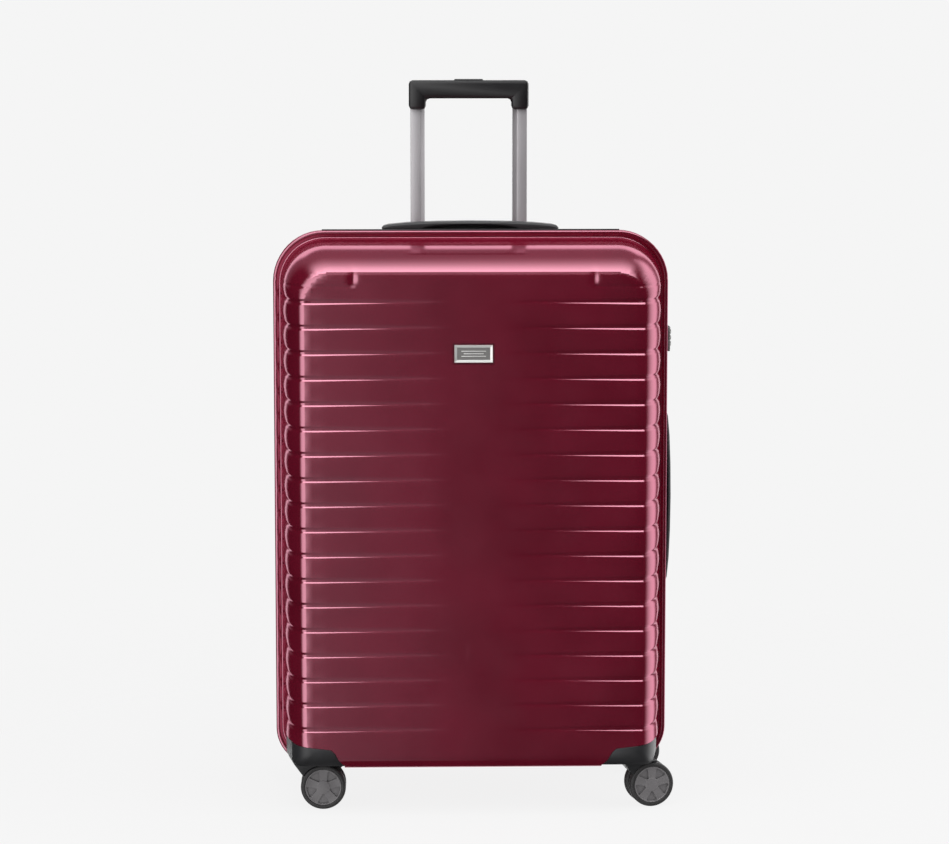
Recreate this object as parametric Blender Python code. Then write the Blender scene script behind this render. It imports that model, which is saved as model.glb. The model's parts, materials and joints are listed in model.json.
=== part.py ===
"""A hard shell suitcase on four swivel casters, built as separate pieces.

Metres, +Z up. The origin is on the floor under the middle of the case. The front face looks along -Y,
the two shells meet at y = 0, the lid turns on the -X side and the lock and side handle are on +X.
"""

from math import cos, pi, radians, sin

import bmesh
import bpy
from mathutils import Matrix

# ---------------------------------------------------------------- driving dimensions
FIT = 0.0003            # gap left between pieces that touch

# the case
RIM_WIDTH = 0.512
RIM_HEIGHT = 0.704
CASE_DEPTH = 0.300
TOP_CORNER = 0.065
BOTTOM_CORNER = 0.050
CORNER_STEPS = 6
CORNER_SHRINK = 0.7     # how fast the corner radii fall as the outline moves in
SHELL_WALL = 0.002
SPLIT_LIP = 0.003       # the lip starts this far from the split, behind the zip
LIP_DEPTH = 0.009       # and ends here
LIP_STEP = 0.010        # how far the wall sits inside the lip
WALL_START = 0.012
WALL_DRAFT = 0.013      # further lean of the wall up to the face fillet
FACE_RADIUS_DEPTH = 0.038
FACE_RADIUS_SIDE = 0.025
FACE_TOP_EXTRA = 0.008  # the face stops a little lower at the top
FACE_STEPS = 5

# casters
WHEEL_RADIUS = 0.0290
WHEEL_WIDTH = 0.0120
WHEEL_CLEAR = 0.0004
WHEEL_STEPS = 24
TREAD = 0.0052
WHEEL_TRAIL = 0.0180
WEB_WIDTH = 0.0080
WEB_PLAY = 0.0006
AXLE_RADIUS = 0.0025
AXLE_SHORT = 0.0020     # the axle ends this far inside the wheels' outer faces
STEM_RADIUS = 0.0060
STEM_RISE = 0.0040
FORK_PLATE = 0.0018
CASTER_FROM_SIDE = 0.0456
CASTER_FROM_FACE = 0.0520
FRONT_RIGHT_YAW = radians(12)

# corner housings
RIM_DROP = 0.0265       # the rim hangs this far below the housings' undersides
HOUSING_HEIGHT = 0.0315
HOUSING_SLOPE = 0.0065
HOUSING_FLOOR = 0.0040
HOUSING_INWARD = 0.0454
HOUSING_BEHIND = 0.0520
HOUSING_CORNER_SHARE = 0.3  # the housings' lower corners are this much tighter than the shells'
HOUSING_SHAPE = (0.0010, 0.0070, 0.0140, 0.0115, 0.0050, 0.0170)  # the steps of the inner edge
HOUSING_SHOULDER = 0.0200
POCKET_INWARD = 0.0110
POCKET_FRONT = 0.0390
POCKET_BACK = 0.0190
GUARD_START = radians(31)
GUARD_TIP = 0.0022
GUARD_END = 0.0060
GUARD_BACK = 0.0200
WEB_EYE_WALL = 0.0040
WEB_REACH = (0.0150, 0.0235)
HUB_ROUND = (0.0010, 0.0020, 0.0003)
HUB_DISH = (0.0090, 0.0014)
TYRE_ROUND = 0.0016

# linings, zip and hinge
LINING_WALL = 0.0012
FRONT_LINING_GAP = 0.010
REAR_LINING_GAP = 0.016
LINING_MOUTH = 0.006    # the linings stop this far from the split
LINING_ROUND = 0.006
LINING_FLOOR_GAP = 0.004
LINING_BACK_GAP = 0.0015
ZIP_INSET = 0.0008
ZIP_BAND = 0.005
ZIP_HALF = 0.0024
HINGE_ABOVE_RIM = 0.116
HINGE_BELOW_TOP = 0.118
HINGE_OUTSIDE = 0.0015  # the lid's axis stands this far outside the rim
SLIDER_SIZE = (0.0032, 0.0110, 0.0150)
SLIDER_TAB = (0.0075, 0.0060)

# badge
BADGE_SIZE = (0.0480, 0.0220)
BADGE_THICK = 0.0016
BADGE_RECESS = 0.0010
BADGE_BORDER = 0.0030
BADGE_BELOW_TOP = 0.146

# trolley
TROLLEY_FROM_FACE = 0.038
TROLLEY_SPREAD = 0.0677
TUBE_WIDTH = 0.019
TUBE_DEPTH = 0.014
TUBE_CHAMFER = 0.006
TUBE_WALL = 0.0012
TUBE_PLAY = 0.0004
TUBE_ABOVE_RIM = 0.078
FOOT_BAR_HEIGHT = 0.014
GRIP_ABOVE_TOP = 0.192
GRIP_SIDE_WALL = 0.0021
GRIP_LEG_WALL = 0.0016
GRIP_COVER = 0.006      # plastic in front of and behind the tubes
GRIP_BAR = 0.024
GRIP_LEG = 0.0145
GRIP_BEVEL = 0.005
GRIP_SOCKET_ROOF = 0.002
BUTTON_SIZE = (0.038, 0.012, 0.0085)
BUTTON_PROUD = 0.0016
BUTTON_TRAVEL = 0.004
BUTTON_PLAY = 0.0004
LINK_SECTION = (0.0050, 0.0040)
LINK_OVERHANG = 0.001
ROD_SIZE = (0.0050, 0.0040)
ROD_OUTWARD = 0.0008
ROD_LIFT = 0.010
BEZEL_BELOW_TOP = 0.0215
BEZEL_FLOOR = 0.006
BEZEL_WALL = 0.004
BEZEL_PLAY = 0.0012
BEZEL_BEVEL = 0.003
DOCKED_PROUD = 0.0055   # the grip stands this far out of the bezel when it is down

# carry handles
HANDLE_LENGTH = 0.235
HANDLE_DEPTH = 0.034
HANDLE_Y = 0.034
HANDLE_BASE_HEIGHT = 0.024
HANDLE_LEG = (0.030, 0.016, 0.0195)
HANDLE_LEG_EDGE = 0.006
HANDLE_RISE = 0.0050
HANDLE_CROWN = 0.0070
HANDLE_GAP = 0.0060
HANDLE_GRIP_DEPTH = 0.026
HANDLE_SLOT = 0.126
HANDLE_SCOOP = (0.118, 0.026, 0.012)
HANDLE_LIP = (0.128, 0.0030, 0.0065)  # a raised back edge behind the top handle
HANDLE_LIP_ROOT = 0.002  # how far it sinks into the base
HANDLE_BEVEL = 0.0025
SMALL_BEVEL = 0.001
BADGE_BEVEL = 0.0008
BUCKLE_BEVEL = 0.002
LOCK_BUTTON_BEVEL = 0.0006
TOP_HANDLE_BELOW_TOP = 0.0015
SIDE_HANDLE_INSIDE = 0.0035
SIDE_HANDLE_ABOVE_RIM = 0.351

# lock
LOCK_BELOW_TOP = 0.1425
LOCK_PROUD = 0.0055
LOCK_THICK = 0.0240
LOCK_WALL = 0.0020
LOCK_START = 0.0135
DIAL_RADIUS = 0.0085
DIAL_WIDTH = 0.0052
DIAL_PITCH = 0.0078
DIAL_PROUD = 0.0018
DIAL_PLAY = 0.0006
DIAL_STEPS = 20
SPINDLE_RADIUS = 0.0016
SPINDLE_END = 0.0024
LOCK_BUTTON_SIZE = (0.0060, 0.0080, 0.0120)
LOCK_BUTTON_PROUD = 0.0018
LOCK_BUTTON_TRAVEL = 0.0015
SLIDER_FROM_LOCK = 0.00775

# strap
STRAP_WIDTH = 0.025
STRAP_THICK = 0.0016
STRAP_SHORT = 0.056     # the strap ends this far inside the rim on each side
BUCKLE_SIZE = (0.044, 0.007, 0.036)

# ---------------------------------------------------------------- sizes that follow from them
HALF_WIDTH = RIM_WIDTH / 2
FACE_Y = CASE_DEPTH / 2
HOUSING_BOTTOM = 2 * WHEEL_RADIUS + WHEEL_CLEAR + FORK_PLATE + FIT
RIM_BOTTOM = HOUSING_BOTTOM - RIM_DROP
RIM_TOP = RIM_BOTTOM + RIM_HEIGHT
HOUSING_SIDE_TOP = HOUSING_BOTTOM + HOUSING_HEIGHT
HOUSING_SLOPE_TOP = HOUSING_SIDE_TOP - HOUSING_SLOPE
CASTER_X = HALF_WIDTH - CASTER_FROM_SIDE
CASTER_Y = FACE_Y - CASTER_FROM_FACE
HOUSING_INNER_X = CASTER_X - HOUSING_INWARD
HOUSING_INNER_Y = CASTER_Y - HOUSING_BEHIND
HINGE_LOW = RIM_BOTTOM + HINGE_ABOVE_RIM
HINGE_HIGH = RIM_TOP - HINGE_BELOW_TOP
BADGE_Z = RIM_TOP - BADGE_BELOW_TOP
TROLLEY_Y = FACE_Y - TROLLEY_FROM_FACE
GRIP_TOP = RIM_TOP + GRIP_ABOVE_TOP
GRIP_WIDTH = 2 * (TROLLEY_SPREAD + TUBE_WIDTH / 2 + GRIP_SIDE_WALL)
GRIP_DEPTH = TUBE_DEPTH + 2 * GRIP_COVER
LINK_LENGTH = 2 * (TROLLEY_SPREAD + ROD_OUTWARD + ROD_SIZE[0] / 2 + LINK_OVERHANG)
OUTER_TUBE_BOTTOM = RIM_BOTTOM + TUBE_ABOVE_RIM
BEZEL_TOP = RIM_TOP - BEZEL_BELOW_TOP
TROLLEY_DOWN = GRIP_TOP - BEZEL_TOP - DOCKED_PROUD
TOP_HANDLE_SEAT = RIM_TOP - TOP_HANDLE_BELOW_TOP
SIDE_HANDLE_SEAT = HALF_WIDTH - SIDE_HANDLE_INSIDE
SIDE_HANDLE_Z = RIM_BOTTOM + SIDE_HANDLE_ABOVE_RIM
LOCK_FACE_X = HALF_WIDTH + LOCK_PROUD
LOCK_Z = RIM_TOP - LOCK_BELOW_TOP
DIAL_Y = LOCK_START + LOCK_WALL + DIAL_PLAY + DIAL_RADIUS
LOCK_BUTTON_Y = DIAL_Y + DIAL_RADIUS + DIAL_PLAY + LOCK_WALL + LOCK_BUTTON_SIZE[1] / 2
LOCK_END = LOCK_BUTTON_Y + LOCK_BUTTON_SIZE[1] / 2 + LOCK_WALL
LOCK_HALF_HEIGHT = DIAL_PITCH + DIAL_WIDTH / 2 + DIAL_PLAY + SPINDLE_END + LOCK_WALL
STRAP_LENGTH = RIM_WIDTH - 2 * STRAP_SHORT
FAR = 1.2               # past the whole case


# ---------------------------------------------------------------- general helpers
def clear_scene():
    for old in list(bpy.data.objects):
        bpy.data.objects.remove(old, do_unlink=True)


def material(name, colour, roughness, metallic=0.0):
    made = bpy.data.materials.get(name) or bpy.data.materials.new(name)
    made.use_nodes = True
    shader = made.node_tree.nodes["Principled BSDF"]
    shader.inputs["Base Color"].default_value = (*colour, 1.0)
    shader.inputs["Roughness"].default_value = roughness
    shader.inputs["Metallic"].default_value = metallic
    return made


def add_object(name, mesh_maker, finish, parent=None, in_case_frame=False):
    """Make one named object; mesh_maker(bm) fills its mesh in its parent's or the case's frame."""
    bm = bmesh.new()
    mesh_maker(bm)
    bmesh.ops.recalc_face_normals(bm, faces=bm.faces)
    mesh = bpy.data.meshes.new(name)
    bm.to_mesh(mesh)
    bm.free()
    made = bpy.data.objects.new(name, mesh)
    bpy.context.scene.collection.objects.link(made)
    if finish:
        mesh.materials.append(finish)
    made.parent = parent
    if in_case_frame:
        made.matrix_parent_inverse = Matrix.Translation(parent.location).inverted()
    return made


def add_empty(name, location, turn=(0, 0, 0)):
    """A joint's place: its pieces are parented to it."""
    empty = bpy.data.objects.new(name, None)
    empty.empty_display_size = 0.02
    bpy.context.scene.collection.objects.link(empty)
    empty.location = location
    empty.rotation_euler = turn
    return empty


def cutter(name, mesh_maker, parent=None):
    made = add_object(name, mesh_maker, None, parent)
    made.hide_render = True
    made.display_type = "WIRE"
    return made


def boolean(piece, other, operation="DIFFERENCE"):
    step = piece.modifiers.new(other.name, "BOOLEAN")
    step.operation = operation
    step.solver = "EXACT"
    step.object = other


def bevel(piece, width, segments=1, angle=40):
    step = piece.modifiers.new("soft edges", "BEVEL")
    step.width = width
    step.segments = segments
    step.limit_method = "ANGLE"
    step.angle_limit = radians(angle)


def smooth(piece, angle=35):
    piece.data.shade_smooth()
    piece.data.set_sharp_from_angle(angle=radians(angle))


def box(bm, low, high):
    """An axis-aligned box between two corners."""
    size = [b - a for a, b in zip(low, high)]
    middle = [(a + b) / 2 for a, b in zip(low, high)]
    place = Matrix.Translation(middle) @ Matrix.Diagonal((*size, 1))
    bmesh.ops.create_cube(bm, size=1, matrix=place)


def centred_box(bm, centre, size):
    box(bm, [c - s / 2 for c, s in zip(centre, size)], [c + s / 2 for c, s in zip(centre, size)])


def prism(bm, outline, low, high, axis="Y"):
    """Extrude an outline along X, Y or Z; its points are the other two coordinates, in order."""
    slot = "XYZ".index(axis)

    def point(pair, level):
        place = list(pair)
        place.insert(slot, level)
        return place
    first = [bm.verts.new(point(pair, low)) for pair in outline]
    last = [bm.verts.new(point(pair, high)) for pair in outline]
    count = len(outline)
    for i in range(count):
        bm.faces.new((first[i], first[(i + 1) % count], last[(i + 1) % count], last[i]))
    bm.faces.new(first)
    bm.faces.new(last)


def turned(bm, profile, steps, axis="Y"):
    """Turn a closed profile of (radius, along) points round an axis through the origin.

    The flats of the facets lie at the radius, and one of them is at the very bottom.
    """
    slot = "XYZ".index(axis)
    rings = []
    for radius, along in profile:
        reach = radius / cos(pi / steps)
        ring = []
        for i in range(steps):
            a = 2 * pi * (i + 0.5) / steps
            place = [reach * cos(a), reach * sin(a)]
            place.insert(slot, along)
            ring.append(bm.verts.new(place))
        rings.append(ring)
    for first, second in zip(rings, rings[1:] + rings[:1]):
        for i in range(steps):
            j = (i + 1) % steps
            bm.faces.new((first[i], first[j], second[j], second[i]))


def rod(bm, radius, low, high, steps, axis="Y", centre=(0, 0)):
    """A round bar along Y or Z."""
    outline = [(centre[0] + radius * cos(2 * pi * i / steps), centre[1] + radius * sin(2 * pi * i / steps))
               for i in range(steps)]
    prism(bm, outline, low, high, axis)


# ---------------------------------------------------------------- the case outline
def outline_points(inset, top_extra=0.0, bottom_extra=0.0, bottom_share=1.0):
    """The rounded outline of the case, moved in by inset, as (x, z) points from the right upper side."""
    half = HALF_WIDTH - inset
    top = RIM_TOP - inset - top_extra
    bottom = RIM_BOTTOM + inset + bottom_extra
    top_radius = TOP_CORNER - CORNER_SHRINK * inset
    bottom_radius = bottom_share * (BOTTOM_CORNER - CORNER_SHRINK * inset)
    corners = (
        (half - top_radius, top - top_radius, top_radius, 0),
        (top_radius - half, top - top_radius, top_radius, pi / 2),
        (bottom_radius - half, bottom + bottom_radius, bottom_radius, pi),
        (half - bottom_radius, bottom + bottom_radius, bottom_radius, 3 * pi / 2),
    )
    points = []
    for x, z, radius, start in corners:
        for step in range(CORNER_STEPS + 1):
            a = start + pi / 2 * step / CORNER_STEPS
            points.append((x + radius * cos(a), z + radius * sin(a)))
    return points


def shell_profile():
    """Rows of (depth, inset, extra drop at the top, inward direction) from the split to the face."""
    wall_inset = LIP_STEP + WALL_DRAFT
    fillet_start = FACE_Y - FACE_RADIUS_DEPTH
    rows = [
        (SPLIT_LIP, 0, 0, (0, 1)),
        (LIP_DEPTH, 0, 0, (-1, 1)),
        (WALL_START, LIP_STEP, 0, (-1, 1)),
        (fillet_start, wall_inset, 0, (0, 1)),
    ]
    for step in range(1, FACE_STEPS + 1):
        a = pi / 2 * step / FACE_STEPS
        depth = fillet_start + FACE_RADIUS_DEPTH * sin(a)
        inset = wall_inset + FACE_RADIUS_SIDE * (1 - cos(a))
        rows.append((depth, inset, FACE_TOP_EXTRA * (1 - cos(a)), (-sin(a), cos(a))))
    return rows


def add_ring(bm, side, depth, *insets):
    return [bm.verts.new((x, side * depth, z)) for x, z in outline_points(*insets)]


def join_rings(bm, rings):
    for first, second in zip(rings, rings[1:]):
        count = len(first)
        for i in range(count):
            j = (i + 1) % count
            bm.faces.new((first[i], first[j], second[j], second[i]))


def close_cup(bm, outer, inner):
    """Two stacks of rings, joined at their open ends and capped at their far ends."""
    join_rings(bm, outer)
    join_rings(bm, inner)
    join_rings(bm, [outer[0], inner[0]])
    bm.faces.new(outer[-1])
    bm.faces.new(inner[-1])


def half_solid(bm, side):
    """One half of the case with squarer lower corners, for the outer surface of the corner housings."""
    rings = [
        add_ring(bm, side, depth, inset, extra, 0, HOUSING_CORNER_SHARE)
        for depth, inset, extra, _ in shell_profile()
    ]
    join_rings(bm, rings)
    bm.faces.new(rings[0])
    bm.faces.new(rings[-1])


def half_shell(bm, side):
    rows = shell_profile()
    outer = [add_ring(bm, side, depth, inset, extra) for depth, inset, extra, _ in rows]
    inner = [
        add_ring(bm, side, depth + SHELL_WALL * turn[0], inset + SHELL_WALL * turn[1], extra)
        for depth, inset, extra, turn in rows
    ]
    close_cup(bm, outer, inner)


def lining(bm, side, gap, back):
    """A fabric cup inside a shell, whose floor passes above the corner housings."""
    mouth_inset = LIP_STEP + SHELL_WALL + gap
    back_inset = mouth_inset + WALL_DRAFT
    floor = HOUSING_SIDE_TOP + LINING_FLOOR_GAP
    rows = ((LINING_MOUTH, mouth_inset), (back - LINING_ROUND, back_inset), (back, back_inset + LINING_ROUND))

    def rings(wall):
        made = []
        for depth, inset in rows:
            bottom_extra = floor - RIM_BOTTOM - inset + (inset - mouth_inset)
            level = depth if depth == LINING_MOUTH else depth - wall
            made.append(add_ring(bm, side, level, inset + wall, 0, bottom_extra))
        return made
    close_cup(bm, rings(0), rings(LINING_WALL))


def zip_tape(bm, side):
    """Half of the zip: a flat band all round the rim but for the hinge stretch on the left."""
    left = ZIP_INSET - HALF_WIDTH
    corners = 2 * (CORNER_STEPS + 1)

    def path(inset, x):
        points = outline_points(inset)
        return [(x, HINGE_LOW), *points[corners:], *points[:corners], (x, HINGE_HIGH)]
    low, high = side * FIT, side * (FIT + ZIP_HALF)
    outer = path(ZIP_INSET, left)
    inner = path(ZIP_INSET + ZIP_BAND, left + ZIP_BAND)
    stacks = [
        [bm.verts.new((x, level, z)) for x, z in line]
        for line, level in ((outer, low), (outer, high), (inner, high), (inner, low))
    ]
    join_rings(bm, [list(section) for section in zip(*stacks)])
    for end in (0, -1):
        bm.faces.new([stack[end] for stack in stacks])


def hinge_tape(bm):
    left = ZIP_INSET - HALF_WIDTH
    reach = FIT + ZIP_HALF
    box(bm, (left, -reach, HINGE_LOW + FIT), (left + ZIP_BAND, reach, HINGE_HIGH - FIT))


# ---------------------------------------------------------------- corner housings
def corner_block(bm, sx, sy, grow, bottom):
    """The block of space that a corner housing takes, grown all round for a cutter."""
    top = HOUSING_SIDE_TOP + grow
    inner = HOUSING_INNER_X - grow
    slope = HOUSING_SLOPE_TOP + grow
    foot, first_in, first_down, next_in, next_down, last_in = HOUSING_SHAPE
    outline = [
        (inner, bottom),
        (inner, HOUSING_BOTTOM + foot),
        (inner + first_in, slope - first_down),
        (inner + next_in, slope - next_down),
        (inner + last_in, slope),
        (HALF_WIDTH - HOUSING_SHOULDER, top),
        (FAR, top),
        (FAR, bottom),
    ]
    near, far = sy * (HOUSING_INNER_Y - grow), sy * FAR
    prism(bm, [(sx * x, z) for x, z in outline], near, far)


def housing_pocket(bm, sx, sy):
    """The hollow of a housing, open to the inside of the case above its floor."""
    outer_x = CASTER_X + STEM_RADIUS + 3 * FIT
    low = (HOUSING_INNER_X + POCKET_INWARD, CASTER_Y - POCKET_FRONT, HOUSING_BOTTOM + HOUSING_FLOOR)
    high = (outer_x, CASTER_Y + POCKET_BACK, FAR)
    xs = sorted((sx * low[0], sx * high[0]))
    ys = sorted((sy * low[1], sy * high[1]))
    box(bm, (xs[0], ys[0], low[2]), (xs[1], ys[1], high[2]))


# ---------------------------------------------------------------- casters, round the swivel axis
def fork_guard(bm):
    """Top plate and the guard in front of the wheels, along the wheels' own curve."""
    top = HOUSING_BOTTOM - FIT
    clear = (WHEEL_RADIUS + WHEEL_CLEAR / 2) / cos(pi / WHEEL_STEPS)
    start = pi - GUARD_START
    tip_reach = clear + GUARD_TIP
    tip = (WHEEL_TRAIL + tip_reach * cos(start), WHEEL_RADIUS + tip_reach * sin(start))
    arc = [
        (WHEEL_TRAIL + clear * cos(start - (start - pi / 2) * i / 6),
         WHEEL_RADIUS + clear * sin(start - (start - pi / 2) * i / 6))
        for i in range(7)
    ]
    end = WHEEL_TRAIL + GUARD_END
    outline = [(-GUARD_BACK, top), tip, *arc, (end, WHEEL_RADIUS + clear), (end, top)]
    half = WEB_WIDTH / 2 + WEB_PLAY + WHEEL_WIDTH
    prism(bm, outline, -half, half)


def fork_web(bm):
    """The middle web that carries the axle between the two wheels."""
    top = HOUSING_BOTTOM - 2 * FIT
    eye = AXLE_RADIUS + WEB_EYE_WALL
    arc = [
        (WHEEL_TRAIL + eye * cos(pi + pi * i / 8), WHEEL_RADIUS + eye * sin(pi + pi * i / 8))
        for i in range(9)
    ]
    outline = [(-WEB_REACH[0], top), *arc, (WEB_REACH[1], top)]
    prism(bm, outline, -WEB_WIDTH / 2, WEB_WIDTH / 2)


def fork_stem(bm):
    rod(bm, STEM_RADIUS, HOUSING_BOTTOM - FORK_PLATE, HOUSING_BOTTOM + HOUSING_FLOOR + STEM_RISE, 16, "Z")


def hub(bm, outward):
    bore = AXLE_RADIUS + FIT
    rim = WHEEL_RADIUS - TREAD - FIT
    edge = WHEEL_WIDTH
    round_low, round_in, round_top = HUB_ROUND
    dish_radius, dish_depth = HUB_DISH
    profile = [(bore, 0), (rim, 0), (rim, edge - round_low), (rim - round_in, edge - round_top),
               (dish_radius, edge - dish_depth), (bore, edge - dish_depth)]
    turned(bm, [(radius, outward * along) for radius, along in profile], WHEEL_STEPS)


def tyre(bm, outward):
    inner = WHEEL_RADIUS - TREAD
    edge = WHEEL_WIDTH
    round_off = TYRE_ROUND
    profile = [(inner, 0), (WHEEL_RADIUS - round_off, 0), (WHEEL_RADIUS, round_off),
               (WHEEL_RADIUS, edge - round_off), (WHEEL_RADIUS - round_off, edge), (inner, edge)]
    turned(bm, [(radius, outward * along) for radius, along in profile], WHEEL_STEPS)


# ---------------------------------------------------------------- trolley
def tube_outline(side, grow):
    """A rectangle with its inner front corner cut off, as (x, y) points in the case's frame."""
    wide, deep = TUBE_WIDTH / 2 + grow, TUBE_DEPTH / 2 + grow
    cut = TUBE_CHAMFER + grow * (2 - 2 ** 0.5)
    local = [(wide, deep), (wide, -deep), (cut - wide, -deep), (-wide, cut - deep), (-wide, deep)]
    return [(side * (TROLLEY_SPREAD + x), TROLLEY_Y + y) for x, y in local]


def square_tube(bm, side, inner_grow, outer_grow, low, high):
    stacks = [
        [bm.verts.new((x, y, level)) for x, y in tube_outline(side, grow)]
        for grow, level in ((outer_grow, low), (outer_grow, high), (inner_grow, high), (inner_grow, low))
    ]
    join_rings(bm, stacks + stacks[:1])


def grip_outline():
    """The grip from the front: a bar with a leg over each tube."""
    half = GRIP_WIDTH / 2
    inner = TROLLEY_SPREAD - TUBE_WIDTH / 2 - GRIP_LEG_WALL
    bar = GRIP_TOP - GRIP_BAR
    foot = bar - GRIP_LEG
    return [(half, foot), (half, GRIP_TOP), (-half, GRIP_TOP), (-half, foot), (-inner, foot),
            (-inner, bar), (inner, bar), (inner, foot)]


# ---------------------------------------------------------------- carry handles, round their own seat
def handle_grip(bm):
    half = HANDLE_LENGTH / 2 - 0.002
    slot = HANDLE_SLOT / 2
    steps = 8
    top = [(half * cos(pi * i / steps), HANDLE_RISE + HANDLE_CROWN * sin(pi * i / steps))
           for i in range(steps + 1)]
    under = [(-slot * cos(pi * i / steps), FIT + HANDLE_GAP * sin(pi * i / steps))
             for i in range(steps + 1)]
    prism_xz = [(half, FIT), *top, (-half, FIT), *under]
    prism(bm, prism_xz, -HANDLE_GRIP_DEPTH / 2, HANDLE_GRIP_DEPTH / 2)


def handle_leg_box(bm, side, play, top):
    length, depth, height = HANDLE_LEG
    centre = side * (HANDLE_LENGTH / 2 - HANDLE_LEG_EDGE - length / 2)
    low = (centre - length / 2 - play, -depth / 2 - play, -height - play)
    box(bm, low, (centre + length / 2 + play, depth / 2 + play, top))


def handle_base_box(bm, grow, top):
    half = HANDLE_LENGTH / 2 + grow
    deep = HANDLE_DEPTH / 2 + grow
    box(bm, (-half, -deep, -HANDLE_BASE_HEIGHT - grow), (half, deep, top))


def handle_scoop(bm):
    centred_box(bm, (0, 0, 0), (HANDLE_SCOOP[0], HANDLE_SCOOP[1], 2 * HANDLE_SCOOP[2]))


def handle_lip(bm):
    length, thick, height = HANDLE_LIP
    back = HANDLE_DEPTH / 2
    box(bm, (-length / 2, back - thick, -HANDLE_LIP_ROOT), (length / 2, back, height))


# ---------------------------------------------------------------- finishes
def finishes():
    return {
        "shell": material("burgundy polycarbonate", (0.105, 0.008, 0.018), 0.12),
        "plastic": material("black plastic", (0.018, 0.018, 0.019), 0.45),
        "grip": material("black grip plastic", (0.012, 0.011, 0.012), 0.38),
        "tube": material("satin aluminium tube", (0.36, 0.34, 0.36), 0.32, 1.0),
        "steel": material("steel", (0.45, 0.45, 0.46), 0.30, 1.0),
        "badge": material("brushed badge metal", (0.52, 0.52, 0.50), 0.30, 1.0),
        "rubber": material("tyre rubber", (0.030, 0.028, 0.030), 0.70),
        "hub": material("grey hub plastic", (0.140, 0.135, 0.140), 0.45),
        "lining": material("grey lining cloth", (0.070, 0.070, 0.075), 0.90),
        "tape": material("black zip tape", (0.015, 0.015, 0.016), 0.85),
        "strap": material("black strap webbing", (0.020, 0.020, 0.021), 0.90),
    }


# ---------------------------------------------------------------- the two halves
def cut_for_corners(shell, side, name):
    for sx, word in ((-1, "left"), (1, "right")):
        hole = cutter(
            f"cut_{name}_{word}_corner",
            lambda bm, sx=sx: corner_block(bm, sx, side, FIT, -FAR),
        )
        boolean(shell, hole)


def rear_lining_back():
    return TROLLEY_Y - GRIP_DEPTH / 2 - BEZEL_PLAY - BEZEL_WALL - LINING_BACK_GAP


def build_front_half(finish):
    hinge = add_empty("front_half_hinge", (-HALF_WIDTH - HINGE_OUTSIDE, 0, 0))
    shell = add_object("front_shell", lambda bm: half_shell(bm, -1), finish["shell"], hinge, True)
    cut_for_corners(shell, -1, "front")
    wide, high = (size / 2 + BADGE_BORDER + FIT for size in BADGE_SIZE)
    recess = cutter("cut_badge_recess", lambda bm: box(
        bm, (-wide, -FAR, BADGE_Z - high), (wide, BADGE_RECESS - FACE_Y, BADGE_Z + high)))
    boolean(shell, recess)
    smooth(shell, 25)
    back = FACE_Y - SHELL_WALL - FRONT_LINING_GAP
    add_object(
        "front_lining", lambda bm: lining(bm, -1, FRONT_LINING_GAP, back), finish["lining"], hinge, True
    )
    add_object("front_zip_tape", lambda bm: zip_tape(bm, -1), finish["tape"], hinge, True)
    inner = BADGE_RECESS - FACE_Y - FIT
    plate = add_object("badge_plate", lambda bm: box(
        bm, (-BADGE_SIZE[0] / 2, inner - BADGE_THICK, BADGE_Z - BADGE_SIZE[1] / 2),
        (BADGE_SIZE[0] / 2, inner, BADGE_Z + BADGE_SIZE[1] / 2)), finish["badge"], hinge, True)
    bevel(plate, BADGE_BEVEL)


def build_rear_half(finish):
    shell = add_object("rear_shell", lambda bm: half_shell(bm, 1), finish["shell"])
    cut_for_corners(shell, 1, "rear")
    boolean(shell, cutter("cut_trolley_opening", lambda bm: bezel_block(bm, FIT, FAR)))
    boolean(shell, cutter("cut_lock_opening", lambda bm: lock_block(bm, FIT)))
    smooth(shell, 25)
    add_object(
        "rear_lining", lambda bm: lining(bm, 1, REAR_LINING_GAP, rear_lining_back()), finish["lining"]
    )
    add_object("rear_zip_tape", lambda bm: zip_tape(bm, 1), finish["tape"])
    add_object("hinge_tape", hinge_tape, finish["tape"])
    return shell


def build_strap(finish):
    back = rear_lining_back() - LINING_WALL - FIT
    centre_z = SIDE_HANDLE_Z
    strap = add_object("packing_strap", lambda bm: box(
        bm, (-STRAP_LENGTH / 2, back - STRAP_THICK, centre_z - STRAP_WIDTH / 2),
        (STRAP_LENGTH / 2, back, centre_z + STRAP_WIDTH / 2)), finish["strap"])
    front = back - STRAP_THICK - FIT
    buckle = add_object("strap_buckle", lambda bm: box(
        bm, (-BUCKLE_SIZE[0] / 2, front - BUCKLE_SIZE[1], centre_z - BUCKLE_SIZE[2] / 2),
        (BUCKLE_SIZE[0] / 2, front, centre_z + BUCKLE_SIZE[2] / 2)), finish["plastic"])
    bevel(buckle, BUCKLE_BEVEL, 2)
    return strap


# ---------------------------------------------------------------- zip sliders
def slider_shape(bm):
    body_thick, body_deep, body_high = (SLIDER_SIZE[0], SLIDER_SIZE[1] / 2, SLIDER_SIZE[2] / 2)
    tab = SLIDER_TAB[1] / 2
    reach = body_deep + SLIDER_TAB[0]
    outline = [
        (-body_deep, -body_high), (body_deep, -body_high), (body_deep, -tab), (reach, -tab),
        (reach, tab), (body_deep, tab), (body_deep, body_high), (-body_deep, body_high),
    ]
    prism(bm, outline, 0, body_thick, "X")


def build_sliders(finish):
    for name, way in (("zip_slider_upper", 1), ("zip_slider_lower", -1)):
        slider = add_object(name, slider_shape, finish["steel"])
        slider.location = (HALF_WIDTH + FIT, 0, LOCK_Z + way * SLIDER_FROM_LOCK)


# ---------------------------------------------------------------- trolley pieces
def bezel_bottom():
    foot = GRIP_TOP - GRIP_BAR - GRIP_LEG - TROLLEY_DOWN
    return foot - BEZEL_PLAY - BEZEL_FLOOR


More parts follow.
